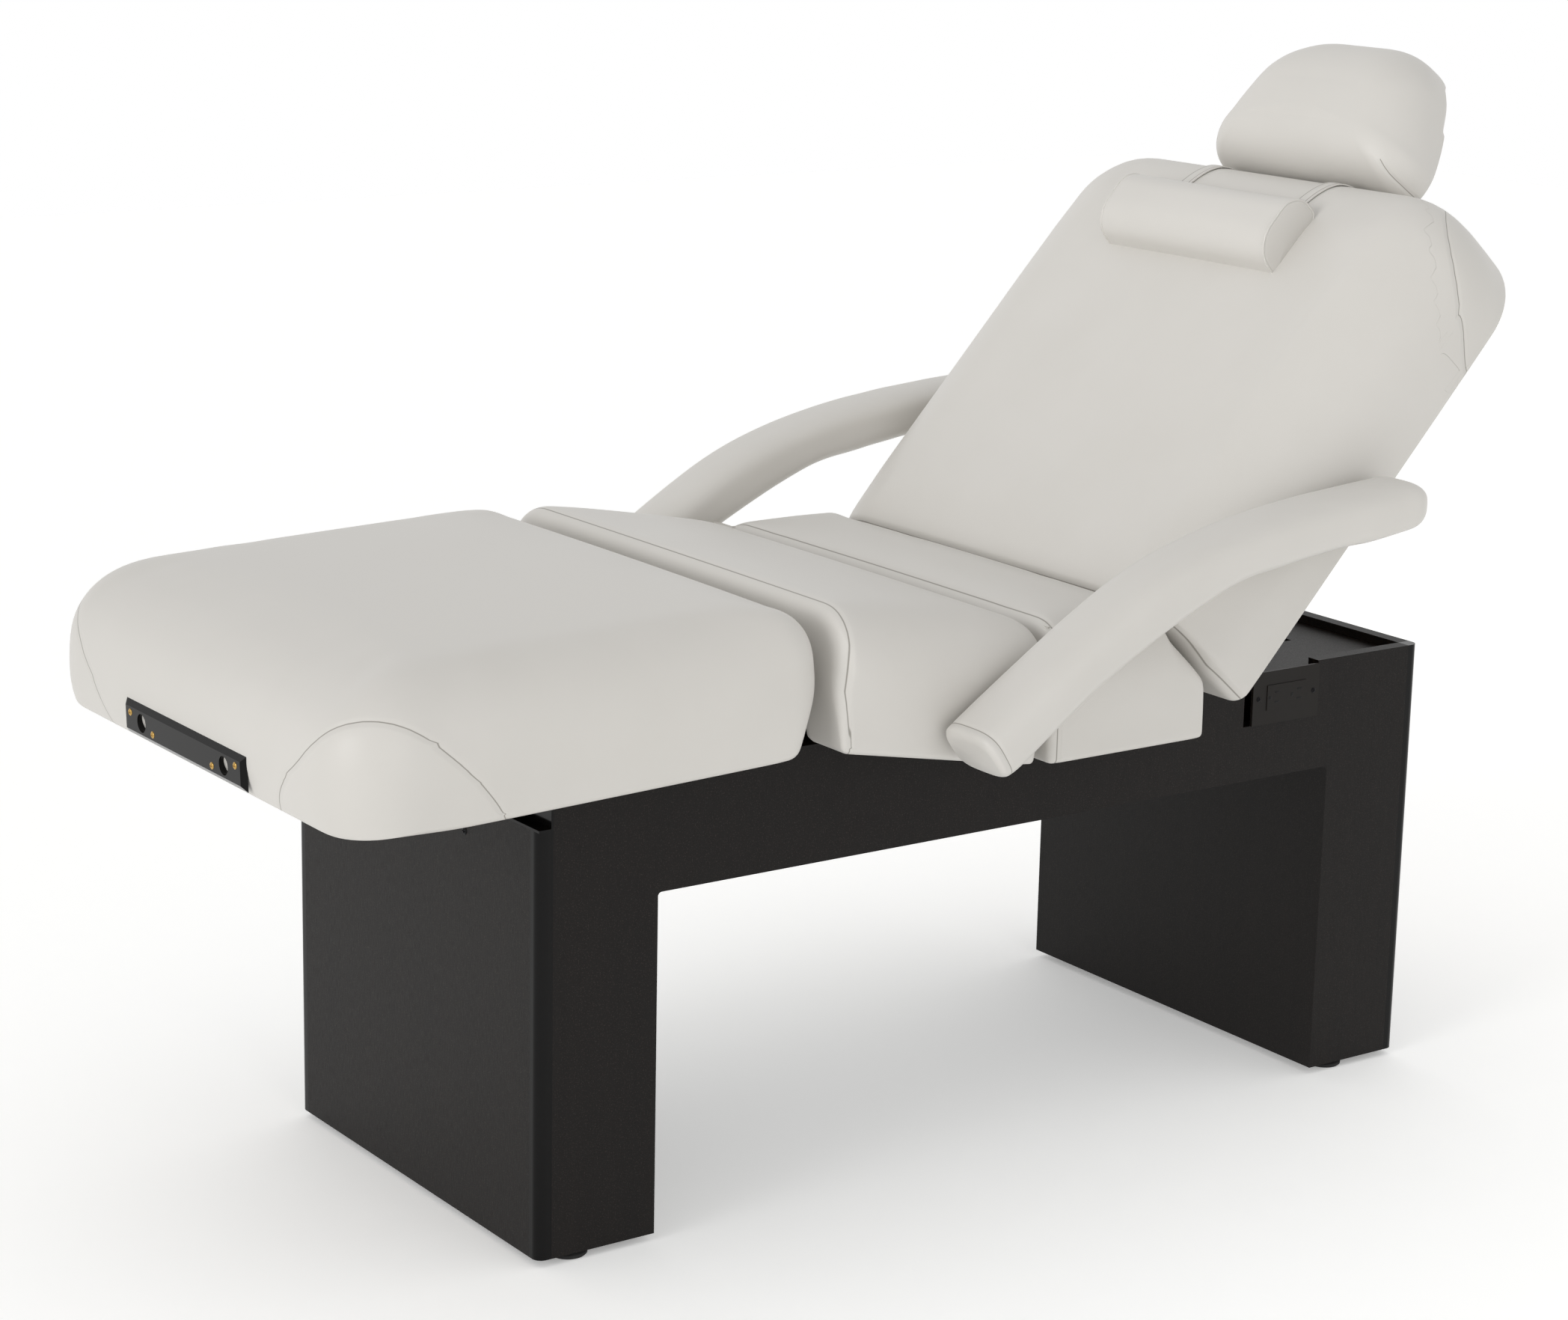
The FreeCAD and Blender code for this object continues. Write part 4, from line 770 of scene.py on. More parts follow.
@dataclass(frozen=True)
class Filling:
    """Foam pressing out against the cover: a short cloth run under pressure, smoothed onto the pieces.

    Attributes:
        cell: Voxel size of the cloth in millimetres.
        pressure: Pressure of the foam.
        limit: Farthest that a point may move, in millimetres.
        frames: Length of the run.
        blur: Reach over which the movement is averaged, in millimetres.
    """

    cell: float = 12.0
    pressure: float = 4.0
    limit: float = 5.0
    frames: int = 20
    blur: float = 14.0

    def swell(self, piece: Piece, hold: Callable[[Array], Array]) -> Callable[[Array], Array]:
        """Run the cloth on a remeshed copy and move the piece by what it did.

        Args:
            piece: Piece to fill, still flat.
            hold: Gives how firmly each point is held, from 0 to 1.

        Returns:
            The movement at any flat points, so that what lies on the piece can follow it.
        """
        copy = bpy.data.objects.new("cover", piece.mesh.copy())
        bpy.context.scene.collection.objects.link(copy)
        remesh = copy.modifiers.new("remesh", "REMESH")
        remesh.mode, remesh.voxel_size = "VOXEL", self.cell * MM
        graph = bpy.context.evaluated_depsgraph_get()
        net = bpy.data.meshes.new_from_object(copy.evaluated_get(graph))
        copy.modifiers.clear()
        copy.data = net
        start = self.read(net)
        held = hold(start)
        group = copy.vertex_groups.new(name="held")
        for weight in np.unique(np.round(held, 1)):
            group.add(np.flatnonzero(np.round(held, 1) == weight).tolist(), float(weight), "REPLACE")
        cloth = copy.modifiers.new("cloth", "CLOTH")
        setting = cloth.settings
        setting.use_pressure, setting.uniform_pressure_force = True, self.pressure
        setting.effector_weights.gravity = 0
        setting.vertex_group_mass = "held"
        setting.quality = 5
        cloth.point_cache.frame_start, cloth.point_cache.frame_end = 1, self.frames
        for number in range(1, self.frames + 1):
            bpy.context.scene.frame_set(number)
        graph = bpy.context.evaluated_depsgraph_get()
        blown = bpy.data.meshes.new_from_object(copy.evaluated_get(graph))
        move = self.read(blown) - start
        bpy.data.objects.remove(copy)
        bpy.context.scene.frame_set(1)
        length = np.linalg.norm(move, axis=1, keepdims=True)
        move *= self.limit * np.tanh(length / self.limit) / np.maximum(length, 1e-9)

        def follow(points: Array) -> Array:
            """Average the movement near each point by exp(-(distance/blur)^2)."""
            out = np.empty_like(points)
            for part in np.array_split(np.arange(len(points)), max(len(points) // 400, 1)):
                gap = (points[part] ** 2).sum(1)[:, None] + (start ** 2).sum(1) - 2 * points[part] @ start.T
                weight = np.exp(-(gap - gap.min(1, keepdims=True)) / self.blur ** 2)
                out[part] = weight @ move / weight.sum(1, keepdims=True)
            return out

        piece.points = piece.points + follow(piece.points)
        return follow

    @staticmethod
    def read(mesh: bpy.types.Mesh) -> Array:
        """Give a mesh's points in millimetres."""
        flat = np.empty(len(mesh.vertices) * 3)
        mesh.vertices.foreach_get("co", flat)
        return flat.reshape(-1, 3) / MM


# Upholstered sections


@dataclass
class Section:
    """An upholstered section of the top: a crowned pad with rolled shoulders, deep skirts and a hollow underside.

    Attributes:
        name: Piece name.
        node: CAD node that the pad stands for.
        body: CAD body that carries it.
        place: Rest place.
        corners: Side outline: x, z and ease of each corner.
        hollow: Parts of the hollow underside: lowest x, highest x and ceiling.
        rim: Rolled shoulder at the foot end, head end, hem and top.
        half: Half width.
        channel: Half width of the hollow.
        end_line: Seam of a sewn-on end panel, x and z from the hem up.
        gusset: Seam of a corner gusset on the far side, mirrored to the near one.
        crown: Rise of the middle of the top.
        filling: Foam under the cover.
        step: Spacing of the grid.
        hem: Heights over which the hold of the hem ends.
        ceiling: Height under which the hollow is held.
        end_hold: Distances from an end over which its hold ends.
        shoulder: Heights over which the crown sets in.
    """

    name: str
    node: str
    body: str
    place: Place
    corners: tuple[tuple[float, float, float], ...]
    hollow: tuple[tuple[float, float, float], ...]
    rim: Rim
    half: float = 381.0
    channel: float = 299.0
    end_line: tuple[tuple[float, float], ...] = ()
    gusset: tuple[tuple[float, float, float], ...] = ()
    crown: float = 5.0
    filling: Filling = field(default_factory=Filling)
    step: float = 11.0
    hem: tuple[float, float] = (545.0, 590.0)
    ceiling: float = 626.0
    end_hold: tuple[float, float] = (6.0, 40.0)
    shoulder: tuple[float, float] = (640.0, 690.0)

    def seam(self, flat: Array, normals: Array) -> Array:
        """Give the signed distance from the nearest seam, an end panel's or a gusset's.

        Args:
            flat: Points on the skin.
            normals: The skin's normals there.

        Returns:
            Distances in millimetres.
        """
        fields = []
        if self.end_line:
            x, z = np.array(self.end_line).T
            fields.append(flat[:, 0] - np.interp(flat[:, 2], z, x))
        if self.gusset:
            fields.append(mirrored_seam(flat, normals, self.gusset))
        return nearest_of(fields)

    def hold(self, flat: Array) -> Array:
        """Hold the underside, the hinged ends and the hem, and let the top and the sides swell.

        Args:
            flat: Points of the cloth.

        Returns:
            How firmly each point is held.
        """
        low = 1 - smoothstep(flat[:, 2], *self.hem)
        inside = (np.abs(flat[:, 1]) < self.channel + 6) & (flat[:, 2] < self.ceiling)
        return np.maximum(np.maximum(low, inside.astype(float)), self.ends(flat))

    def ends(self, flat: Array) -> Array:
        """Hold both ends where they face a neighbour."""
        x = np.array(self.corners)[:, 0]
        return 1 - smoothstep(np.minimum(flat[:, 0] - x.min(), x.max() - flat[:, 0]), *self.end_hold)

    def rings(self) -> Array:
        """Loft the side outline across the table, open the hollow and crown the top.

        The top rises by crown*(1-(y/half)^2)*(1-u^4), u running from -1 to 1 along the section, and the
        underside is lifted to its ceiling between the skirts.

        Returns:
            Rings of points.
        """
        loop = eased_outline(self.corners, self.step)
        edge = 0.5 + 0.5 * self.channel / (self.half - self.rim.low_second)
        inner = np.linspace(1 - edge, edge, 46)
        outer = np.linspace(edge, 1, 6)
        shares = np.concatenate([1 - outer[::-1], inner, outer])
        shift = self.rim.shift(loop)
        depth = np.linalg.norm(shift, axis=1)
        wide = padded_loft(loop, (-self.half, self.half), (shift, shift), (depth, depth), shares)
        rings = wide[..., [0, 2, 1]].copy()
        first = (len(rings) - len(shares)) // 2 + len(outer)
        middle = rings[first:first + len(inner)]
        for low, high, ceiling in self.hollow:
            under = (middle[..., 0] >= low) & (middle[..., 0] <= high)
            middle[..., 2] = np.where(under, np.maximum(middle[..., 2], ceiling), middle[..., 2])
        x = loop[:, 0]
        u = (rings[..., 0] - (x.max() + x.min()) / 2) / (x.max() - x.min()) * 2
        top = smoothstep(rings[..., 2], *self.shoulder)
        rings[..., 2] += self.crown * top * (1 - (rings[..., 1] / self.half) ** 2) * (1 - u ** 4)
        return rings

    def build(self) -> Callable[[Array], Array]:
        """Make the pad, fill it, mark its seams and settle it.

        Returns:
            The filling's movement at any flat points of the section.
        """
        pad = Piece(self.name, [self.rings()], VINYL, "upholstery")
        follow = self.filling.swell(pad, self.hold)
        pad.mark("seam", self.seam(pad.points, pad.normals) * MM)
        pad.refine()
        pad.settle(self.place, self.body, [self.node])
        return follow


@dataclass
class LegSection(Section):
    """Leg section: broad rounded foot end with gusseted corners and the accessory plate."""

    name: str = "leg_pad"
    node: str = "leg_cushion"
    body: str = "leg"
    place: Place = LEG_PLACE
    corners: tuple = ((-893, 530, 8), (-904, 556, 20), (-902, 696, 112), (-279, 696, 52), (-279, 603, 20),
                      (-318, 530, 16), (-862, 530, 0.2), (-863.5, 530, 0.2))
    hollow: tuple = ((-863, -330, 606), (-330, -270, 616))
    rim: Rim = Rim(84, 44, 8, 64)
    gusset: tuple = ((-702, 381, 505), (-714.5, 381, 541), (-740, 381, 577), (-777, 381, 615), (-817, 375, 648),
                     (-852, 357, 661), (-882, 331, 657), (-897, 303, 636), (-903, 272, 606), (-903, 246, 582),
                     (-901, 223, 552), (-898, 203, 505))
    crown: float = 11.0


@dataclass
class ThighSection(Section):
    """Thigh section: a short pad with a sewn-on end panel towards the foot."""

    name: str = "thigh_pad"
    node: str = "thigh_cushion"
    body: str = "thigh"
    place: Place = THIGH_PLACE
    corners: tuple = ((-244, 530, 10), (-265, 603, 16), (-265, 697, 24), (40, 697, 24), (52, 603, 20),
                      (52, 530, 8))
    hollow: tuple = ((-300, -210, 616), (-210, -6, 606), (-6, 60, 616))
    rim: Rim = Rim(20, 20, 8, 70)
    end_line: tuple = ((-235, 530), (-256, 603), (-256, 720))


@dataclass
class SeatSection(Section):
    """Fixed seat section, scooped at its head end for the back's travel."""

    name: str = "seat_pad"
    node: str = "seat_cushion"
    body: str = "top_frame"
    place: Place = LEVEL
    corners: tuple = ((56, 530, 8), (56, 603, 14), (76, 697, 22), (240, 697, 14), (256, 657, 12), (302, 603, 10),
                      (303, 530, 8))
    hollow: tuple = ((40, 114, 616), (114, 234, 606), (234, 300, 616))
    rim: Rim = Rim(12, 12, 8, 70)
    end_line: tuple = ((65, 530), (65, 603), (85, 697))


@dataclass
class BackSection(Section):
    """Back section: a long pad with broad rounded head corners.

    Attributes:
        strap_from: Where the straps start under the bolster, x lying flat.
        strap_end: Least x of the end wall, and the height at which the straps stop on it.
    """

    name: str = "back_pad"
    node: str = "back_cushion"
    body: str = "back"
    place: Place = BACK_PLACE
    corners: tuple = ((309, 530, 8), (309, 603, 20), (328, 698, 40), (1018, 698, 92), (1016, 530, 10),
                      (974.5, 530, 0.2), (973, 530, 0.2))
    hollow: tuple = ((294, 354, 616), (354, 974, 606))
    rim: Rim = Rim(20, 118, 8, 104)
    end_line: tuple = ((317, 530), (317, 603), (336, 698))
    gusset: tuple = ((832, 381, 505), (845, 381, 540), (874, 381, 577), (897, 381, 610), (937, 371, 648),
                     (975, 347, 664), (1000, 318, 656), (1013, 286, 634), (1018, 252, 600), (1018, 226, 560),
                     (1017, 203, 505))
    crown: float = 8.0
    strap_from: float = 840.0
    strap_end: tuple[float, float] = (990.0, 586.0)

    def strap_path(self, y: float, follow: Callable[[Array], Array]) -> Array:
        """Trace the pad's skin over the head end, from under the bolster down to the end wall.

        Args:
            y: Middle of the strap.
            follow: The filling's movement at any flat points.

        Returns:
            Flat points of the trace.
        """
        rings = self.rings()
        ring = rings[np.argmin(np.abs(rings[:, :, 1] - y).max(1))]
        wall, foot = self.strap_end
        top = (ring[:, 0] > self.strap_from) & (ring[:, 2] > self.ceiling)
        ring = ring[top | ((ring[:, 0] > wall) & (ring[:, 2] > foot))]
        ring = ring[np.argsort(np.arctan2(ring[:, 2] - foot, ring[:, 0] - self.strap_from))[::-1]]
        ring = np.stack([ring[:, 0], np.full(len(ring), y), ring[:, 2]], 1)
        return flowing(ring + follow(ring), 70)


# Armrests, headrest and bolster


@dataclass
class Armrest:
    """Padded armrest: a rounded oblong carried along the middle of two edge curves, with a sewn end cap.

    Attributes:
        side: Side of the table.
        lower: Lower edge from the low end to the tip, x and z.
        upper: Upper edge.
        inner: Inside face.
        outer: Outside face.
        power: How square the section is; two is an ellipse.
        cap_roll: Edge radius of the low end's cap.
        tip_roll: Edge radius of the tip.
        cap_seam: Distance of the cap's seam from the low end.
        filling: Foam under the cover.
    """

    side: Side
    lower: tuple = ((-90, 554), (-66, 564), (-11, 602), (64, 652), (167, 706), (259, 745), (327, 758), (424, 772),
                    (489, 776), (576, 788))
    upper: tuple = ((-126, 604), (-114, 616), (-43, 664), (57, 727), (134, 768), (213, 796), (308, 818), (391, 830),
                    (461, 837), (576, 846))
    inner: float = 391.0
    outer: float = 485.0
    power: float = 3.4
    cap_roll: float = 9.0
    tip_roll: float = 32.0
    cap_seam: float = 13.0
    filling: Filling = field(default_factory=lambda: Filling(cell=8.0, limit=3.0))

    def edges(self) -> tuple[Array, Array]:
        """Give both edge curves with matching points."""
        return flowing(self.lower, 300), flowing(self.upper, 300)

    def rings(self) -> Array:
        """Carry the section from cap to tip.

        The section is |y/wide|^p + |v/tall|^p = 1. At an end, half sizes shrink by roll*(1-sin a) while the
        place goes back by roll*(1-cos a), a quarter turn; the caps are the last section drawn to its middle.

        Returns:
            Rings of points.
        """
        low, high = self.edges()
        middle, rise = (low + high) / 2, (high - low) / 2
        run = np.concatenate([[0], np.cumsum(np.linalg.norm(np.diff(middle, axis=0), axis=1))])
        turn, k = np.linspace(0, np.pi / 2, 9), np.linspace(0, 1, 8)[:-1]
        first, last = self.cap_roll, self.tip_roll
        body = np.arange(first, run[-1] - last, 9.0)[1:]
        place = np.concatenate([-3 * (1 - k ** 2), first * (1 - np.cos(turn)), body,
                                run[-1] - last * (1 - np.cos(turn[::-1])), run[-1] + 3 * (1 - k[::-1] ** 2)])
        inset = np.concatenate([0 * k + first, first * (1 - np.sin(turn)), 0 * body,
                                last * (1 - np.sin(turn[::-1])), 0 * k + last])
        scale = np.concatenate([k, np.ones(len(turn) * 2 + len(body)), k[::-1]])
        ends = np.stack([middle[0] - middle[1], middle[-1] - middle[-2]])
        ends /= np.linalg.norm(ends, axis=1, keepdims=True)
        centre = np.stack([np.interp(place, run, middle[:, i]) for i in (0, 1)], 1)
        centre += np.clip(-place, 0, None)[:, None] * ends[0] + np.clip(place - run[-1], 0, None)[:, None] * ends[1]
        up = np.stack([np.interp(place, run, rise[:, i]) for i in (0, 1)], 1)
        tall = np.linalg.norm(up, axis=1, keepdims=True)
        up = up / tall
        angle = np.linspace(0, 2 * np.pi, 64, endpoint=False)
        c, s = np.cos(angle), np.sin(angle)
        oblong = np.stack([np.sign(c) * np.abs(c) ** (2 / self.power), np.sign(s) * np.abs(s) ** (2 / self.power)], 1)
        half = np.concatenate([0 * tall + (self.outer - self.inner) / 2, tall], 1) - inset[:, None]
        section = oblong[None] * (half * scale[:, None])[:, None]
        path = np.insert(centre, 1, self.side.value * (self.inner + self.outer) / 2, 1)
        across = np.broadcast_to([0.0, 1.0, 0.0], path.shape)
        return carried_ring(path, across, np.insert(up, 1, 0, 1), section)

    def seam(self, flat: Array) -> Array:
        """Signed distance from the end cap's seam, square to the low end, in millimetres."""
        low, high = self.edges()
        start = (low[0] + high[0]) / 2
        way = (low[12] + high[12]) / 2 - start
        return (flat[:, [0, 2]] - start) @ (way / np.linalg.norm(way)) - self.cap_seam

    def hold(self, flat: Array) -> Array:
        """Hold the seam and the inside face, and let the rest swell."""
        inside = smoothstep(self.side.value * flat[:, 1], self.inner + 12, self.inner + 2)
        return np.maximum(0.9 * np.exp(-(self.seam(flat) / 8) ** 2), inside)

    def build(self) -> None:
        """Make, fill, mark and settle the armrest."""
        name = "arm_%s" % self.side.name.lower()
        pad = Piece(name + "_cover", [self.rings()], VINYL, "upholstery")
        self.filling.swell(pad, self.hold)
        pad.mark("seam", self.seam(pad.points) * MM)
        pad.refine()
        label = self.side.name.lower()
        pad.settle(LEVEL, name, ["arm_pad_" + label, "arm_core_" + label])


@dataclass
class Headrest:
    """Six-sided headrest pad with broad rolled edges.

    Attributes:
        plan: Plan outline lying flat: x, y and ease of each corner.
        limits: Underside and top.
        under: Rolled edge at the foot end, head end and sides of the underside.
        over: Rolled edge of the top.
        deepest: Greatest height that a rolled edge takes.
        crown: Rise of the middle of the top.
        dart: Seam that closes a foot corner on the far side, mirrored to the near one.
        filling: Foam under the cover.
    """

    plan: tuple = ((1038, -180, 24), (1076, -195, 16), (1190, -147, 14), (1250, -104, 59), (1250, 104, 59),
                   (1190, 147, 14), (1076, 195, 16), (1038, 180, 24))
    limits: tuple[float, float] = (588.0, 690.0)
    under: Rim = Rim(10, 12, 12, 12)
    over: Rim = Rim(60, 90, 90, 90)
    deepest: float = 84.0
    crown: float = 3.0
    dart: tuple = ((1072, 155, 674), (1058, 167, 664), (1048, 178, 650), (1044, 187, 628), (1043, 191, 580))
    filling: Filling = field(default_factory=lambda: Filling(cell=8.0, limit=3.0))

    def rings(self) -> Array:
        """Loft the plan outline upwards and roll it in at both ends."""
        loop = eased_outline(self.plan, 9.0)
        shifts = (self.under.shift(loop), self.over.shift(loop))
        depths = [np.minimum(np.linalg.norm(shift, axis=1), self.deepest) for shift in shifts]
        return padded_loft(loop, self.limits, shifts, depths, np.linspace(0, 1, 4), (0.0, self.crown), rolls=13,
                           caps=12)

    def seam(self, flat: Array, normals: Array) -> Array:
        """Signed distance of skin points, with their normals, from the nearest dart in millimetres."""
        return mirrored_seam(flat, normals, self.dart)

    def hold(self, flat: Array) -> Array:
        """Hold the underside on its board."""
        return 1 - smoothstep(flat[:, 2], self.limits[0] + 8, self.limits[0] + 30)

    def build(self) -> None:
        """Make, fill, mark and settle the pad."""
        pad = Piece("headrest_cover", [self.rings()], VINYL, "upholstery")
        self.filling.swell(pad, self.hold)
        pad.mark("seam", self.seam(pad.points, pad.normals) * MM)
        pad.refine()
        pad.settle(HEAD_PLACE, "headrest", ["headrest_pad"])


@dataclass
class Bolster:
    """Neck bolster: a D section with piped end caps, and the two straps that hold it to the back.

    Attributes:
        section: Side outline lying flat on the back: x, z and ease of each corner.
        half: Half length.
        under: Heights over which the hold of the underside ends.
        roll: Edge radius of the end caps.
        cord: Radius of the piping.
        strap_y: Middle of each strap.
        strap: Half width and thickness of a strap.
        stitch: Distance of a strap's stitched rows from its middle.
        filling: Foam under the cover.
    """

    section: tuple = ((823, 701, 2), (914, 701, 6), (926, 708, 7), (926, 738, 14), (905, 757, 14), (852, 757, 16),
                      (827, 738, 15))
    half: float = 164.0
    under: tuple[float, float] = (703.0, 720.0)
    roll: float = 5.0
    cord: float = 1.8
    strap_y: float = 116.0
    strap: tuple[float, float] = (11.0, 2.4)
    stitch: float = 7.0
    filling: Filling = field(default_factory=lambda: Filling(cell=6.0, limit=4.0))

    def rings(self) -> Array:
        """Loft the D section along the bolster and roll it to a copy of itself, drawn in, at both ends."""
        loop = eased_outline(self.section, 6.0)
        shift, depth = drawn_in(loop, self.roll), np.full(len(loop), self.roll)
        rings = padded_loft(loop, (-self.half, self.half), (shift, shift), (depth, depth), np.linspace(0, 1, 34),
                            (2.0, 2.0), rolls=6)
        return rings[..., [0, 2, 1]]

    def hold(self, flat: Array) -> Array:
        """Hold the flat underside and the piped edges."""
        under = 1 - smoothstep(flat[:, 2], *self.under)
        return np.maximum(under, 0.9 * np.exp(-((np.abs(flat[:, 1]) - self.half + self.roll) / 7) ** 2))

    def piping(self, side: Side, follow: Callable[[Array], Array]) -> None:
        """Run a covered cord round an end cap: a circle carried round the D outline.

        Args:
            side: End of the bolster.
            follow: The filling's movement at any flat points.
        """
        loop = eased_outline(self.section, 4.0)
        loop = loop - outward(loop) * 1.0
        loop = np.concatenate([loop, loop[:1]])
        path = np.insert(loop, 1, side.value * (self.half - self.roll * 0.4), 1)
        path = path + follow(path)
        across = np.insert(np.concatenate([outward(loop[:-1]), outward(loop[:-1])[:1]]), 1, 0, 1)
        angle = np.linspace(0, 2 * np.pi, 10, endpoint=False)
        ring = np.stack([np.cos(angle), np.sin(angle)], 1) * self.cord
        up = np.broadcast_to([0.0, 1.0, 0.0], path.shape)
        cord = Piece("bolster_piping_%s" % side.name.lower(), [carried_ring(path, across, up, ring)], VINYL,
                     "upholstery")
        cord.settle(BACK_PLACE, "bolster")

    def lay_strap(self, side: Side, back: BackSection, follow: Callable[[Array], Array]) -> None:
        """Lay a strap on the back's skin: a flat rounded section carried along the trace.

        Args:
            side: Which strap.
            back: Back section that it lies on.
            follow: The back filling's movement.
        """
        path = back.strap_path(side.value * self.strap_y, follow)
        along = np.gradient(path, axis=0)
        across = np.broadcast_to([0.0, 1.0, 0.0], path.shape)
        up = np.cross(along / np.linalg.norm(along, axis=1, keepdims=True), across)
        wide, thick = self.strap
        loop = eased_outline(((-wide, 0.3, 0.6), (wide, 0.3, 0.6), (wide, thick, 1.0), (-wide, thick, 1.0)), 3.0, 4)
        rings = carried_ring(path, across, up, loop)
        middle = rings.mean(1, keepdims=True)
        rings = np.concatenate([np.broadcast_to(middle[:1], rings[:1].shape), rings,
                                np.broadcast_to(middle[-1:], rings[:1].shape)])
        band = Piece("bolster_strap_%s" % side.name.lower(), [rings], VINYL, "upholstery")
        band.mark("seam", (np.abs(band.points[:, 1] - side.value * self.strap_y) - self.stitch) * MM)
        band.settle(BACK_PLACE, "back", ["bolster_straps"] if side is Side.RIGHT else [])

    def build(self, back: BackSection, back_follow: Callable[[Array], Array]) -> None:
        """Make, fill, pipe and strap the bolster.

        Args:
            back: Back section that it lies on.
            back_follow: The back filling's movement.
        """
        pad = Piece("bolster_cover", [self.rings()], VINYL, "upholstery")
        follow = self.filling.swell(pad, self.hold)
        pad.refine()
        pad.settle(BACK_PLACE, "bolster", ["bolster"])
        for side in Side:
            self.piping(side, follow)
            self.lay_strap(side, back, back_follow)


# Cabinet, mechanism and fittings


def dress(finish: Finish, *nodes: str) -> None:
    """Give CAD nodes a finish.

    Args:
        finish: Finish that they take.
        *nodes: Node names.
    """
    for name in nodes:
        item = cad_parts[name]
        if not item.material_slots:
            item.data.materials.append(None)
        for slot in item.material_slots:
            slot.material = finish.material()
    log.info("%s: %d solids", finish.name, len(nodes))


@dataclass
class Cabinet:
    """Bridge-shaped cabinet: laminated boards, polished edging, a power outlet and a screw in the foot panel.

    Attributes:
        outlet: Middle of the outlet, x and z.
        pitch: Distance between its two sets of slots.
        ground: Distance of an earth hole from the middle of its set.
        blade: Distance of the blade slots from the middle of their set, along and up.
        slot: Length and width of a blade slot.
        plate_screw: Distance of a plate screw from the middle of the outlet.
        panel_screw: Place of the foot panel's screw.
    """

    outlet: tuple[float, float] = (517.2, 537.9)
    pitch: float = 38.5
    ground: float = -9.4
    blade: tuple[float, float] = (3.1, 6.4)
    slot: tuple[float, float] = (8.4, 2.3)
    plate_screw: float = 47.6
    panel_screw: tuple[float, float, float] = (-606.0, -125.3, 486.4)

    def dress(self) -> None:
        """Give the boards, edging, outlet and feet their finishes."""
        ends = ("foot", "head")
        sides = ("right", "left")
        dress(LAMINATE, "beam_soffit", "deck_head", *["side_panel_" + side for side in sides],
              *["deck_side_" + side for side in sides],
              *[end + part for end in ends for part in ("_end_panel", "_inner_panel", "_floor")])
        corners = [end + "_" + side for end in ends for side in sides]
        dress(GLOSS_EDGE, "corner_pull", *["corner_post_" + corner for corner in corners])
        dress(RUBBER, *["level_foot_" + corner for corner in corners])
        dress(DEVICE, "outlet_plate", "outlet_receptacle", "mains_inlet")

    def outlet_face(self) -> None:
        """Set blade slots and earth holes in the receptacle as near-black inlays of painted shade, and screws in its
        plate.
        """
        x, z = self.outlet
        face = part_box("outlet_receptacle")[0][1] / MM
        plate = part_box("outlet_plate")[0][1] / MM
        long, wide = self.slot[0] / 2, self.slot[1] / 2
        blade = eased_outline(((-long, -wide, 0.3), (long, -wide, 0.3), (long, wide, 0.3), (-long, wide, 0.3)), 2.0, 4)
        earth = eased_outline(((-2.2, -2.4, 0.4), (2.5, -2.4, 2.3), (2.5, 2.4, 2.3), (-2.2, 2.4, 0.4)), 2.0, 6)
        shells = []
        for middle in (x - self.pitch / 2, x + self.pitch / 2):
            for loop, along, up in ((blade, self.blade[0], self.blade[1]), (blade, self.blade[0], -self.blade[1]),
                                    (earth, self.ground, 0.0)):
                shells.append(set_on(inlay(loop, 0.12), (middle + along, face, z + up), (1, 0, 0), (0, 0, 1)))
        # the slots and earth holes are flat near-black inlays: painted shade where the holes would be
        Piece("outlet_slots", shells, SOCKET_SHADE, "device").settle(LEVEL, "base")
        heads = [set_on(screw_head(3.4, 0.9, 0.9), (x + off, plate, z), (1, 0, 0), (0, 0, 1))
                 for off in (-self.plate_screw, self.plate_screw)]
        Piece("outlet_screws", heads, DARK_ALLOY, "black_alu").settle(LEVEL, "base")

    def build(self) -> None:
        """Dress the cabinet and add what is fixed to it."""
        self.dress()
        self.outlet_face()
        head = set_on(screw_head(5.0, 1.6, 1.3), self.panel_screw, (0, -1, 0), (0, 0, 1))
        Piece("foot_panel_screw", [head], DARK_ALLOY, "black_alu").settle(LEVEL, "base")


@dataclass
class FootFittings:
    """Accessory plate at the foot end with its two sockets and four screws.

    Attributes:
        face: Place of the plate's raised face, x lying flat.
        socket: Place of a socket, |y| and z.
        screw: Distance of a socket's screws from its middle, across and down.
        head: Radius and height of a screw head.
    """

    face: float = -909.0
    socket: tuple[float, float] = (105.0, 561.0)
    screw: tuple[float, float] = (29.0, 7.0)
    head: tuple[float, float] = (4.2, 1.6)

    def build(self) -> None:
        """Dress the plate and set the screw heads, the outer ones higher."""
        dress(GLOSS_EDGE, "foot_socket_plate")
        # socket tubes near black: painted shade in their bores
        dress(SOCKET_SHADE, "foot_socket_tubes")
        y, z = self.socket
        across, drop = self.screw
        spots = [(self.face, side.value * (y + way * across), z + way * drop) for side in Side for way in (-1, 1)]
        heads = [set_on(screw_head(*self.head, 1.2), spot, (0, -1, 0), (0, 0, 1)) for spot in spots]
        Piece("foot_plate_screw_heads", heads, BRASS, "brass").settle(LEG_PLACE, "leg", ["foot_plate_screws"])


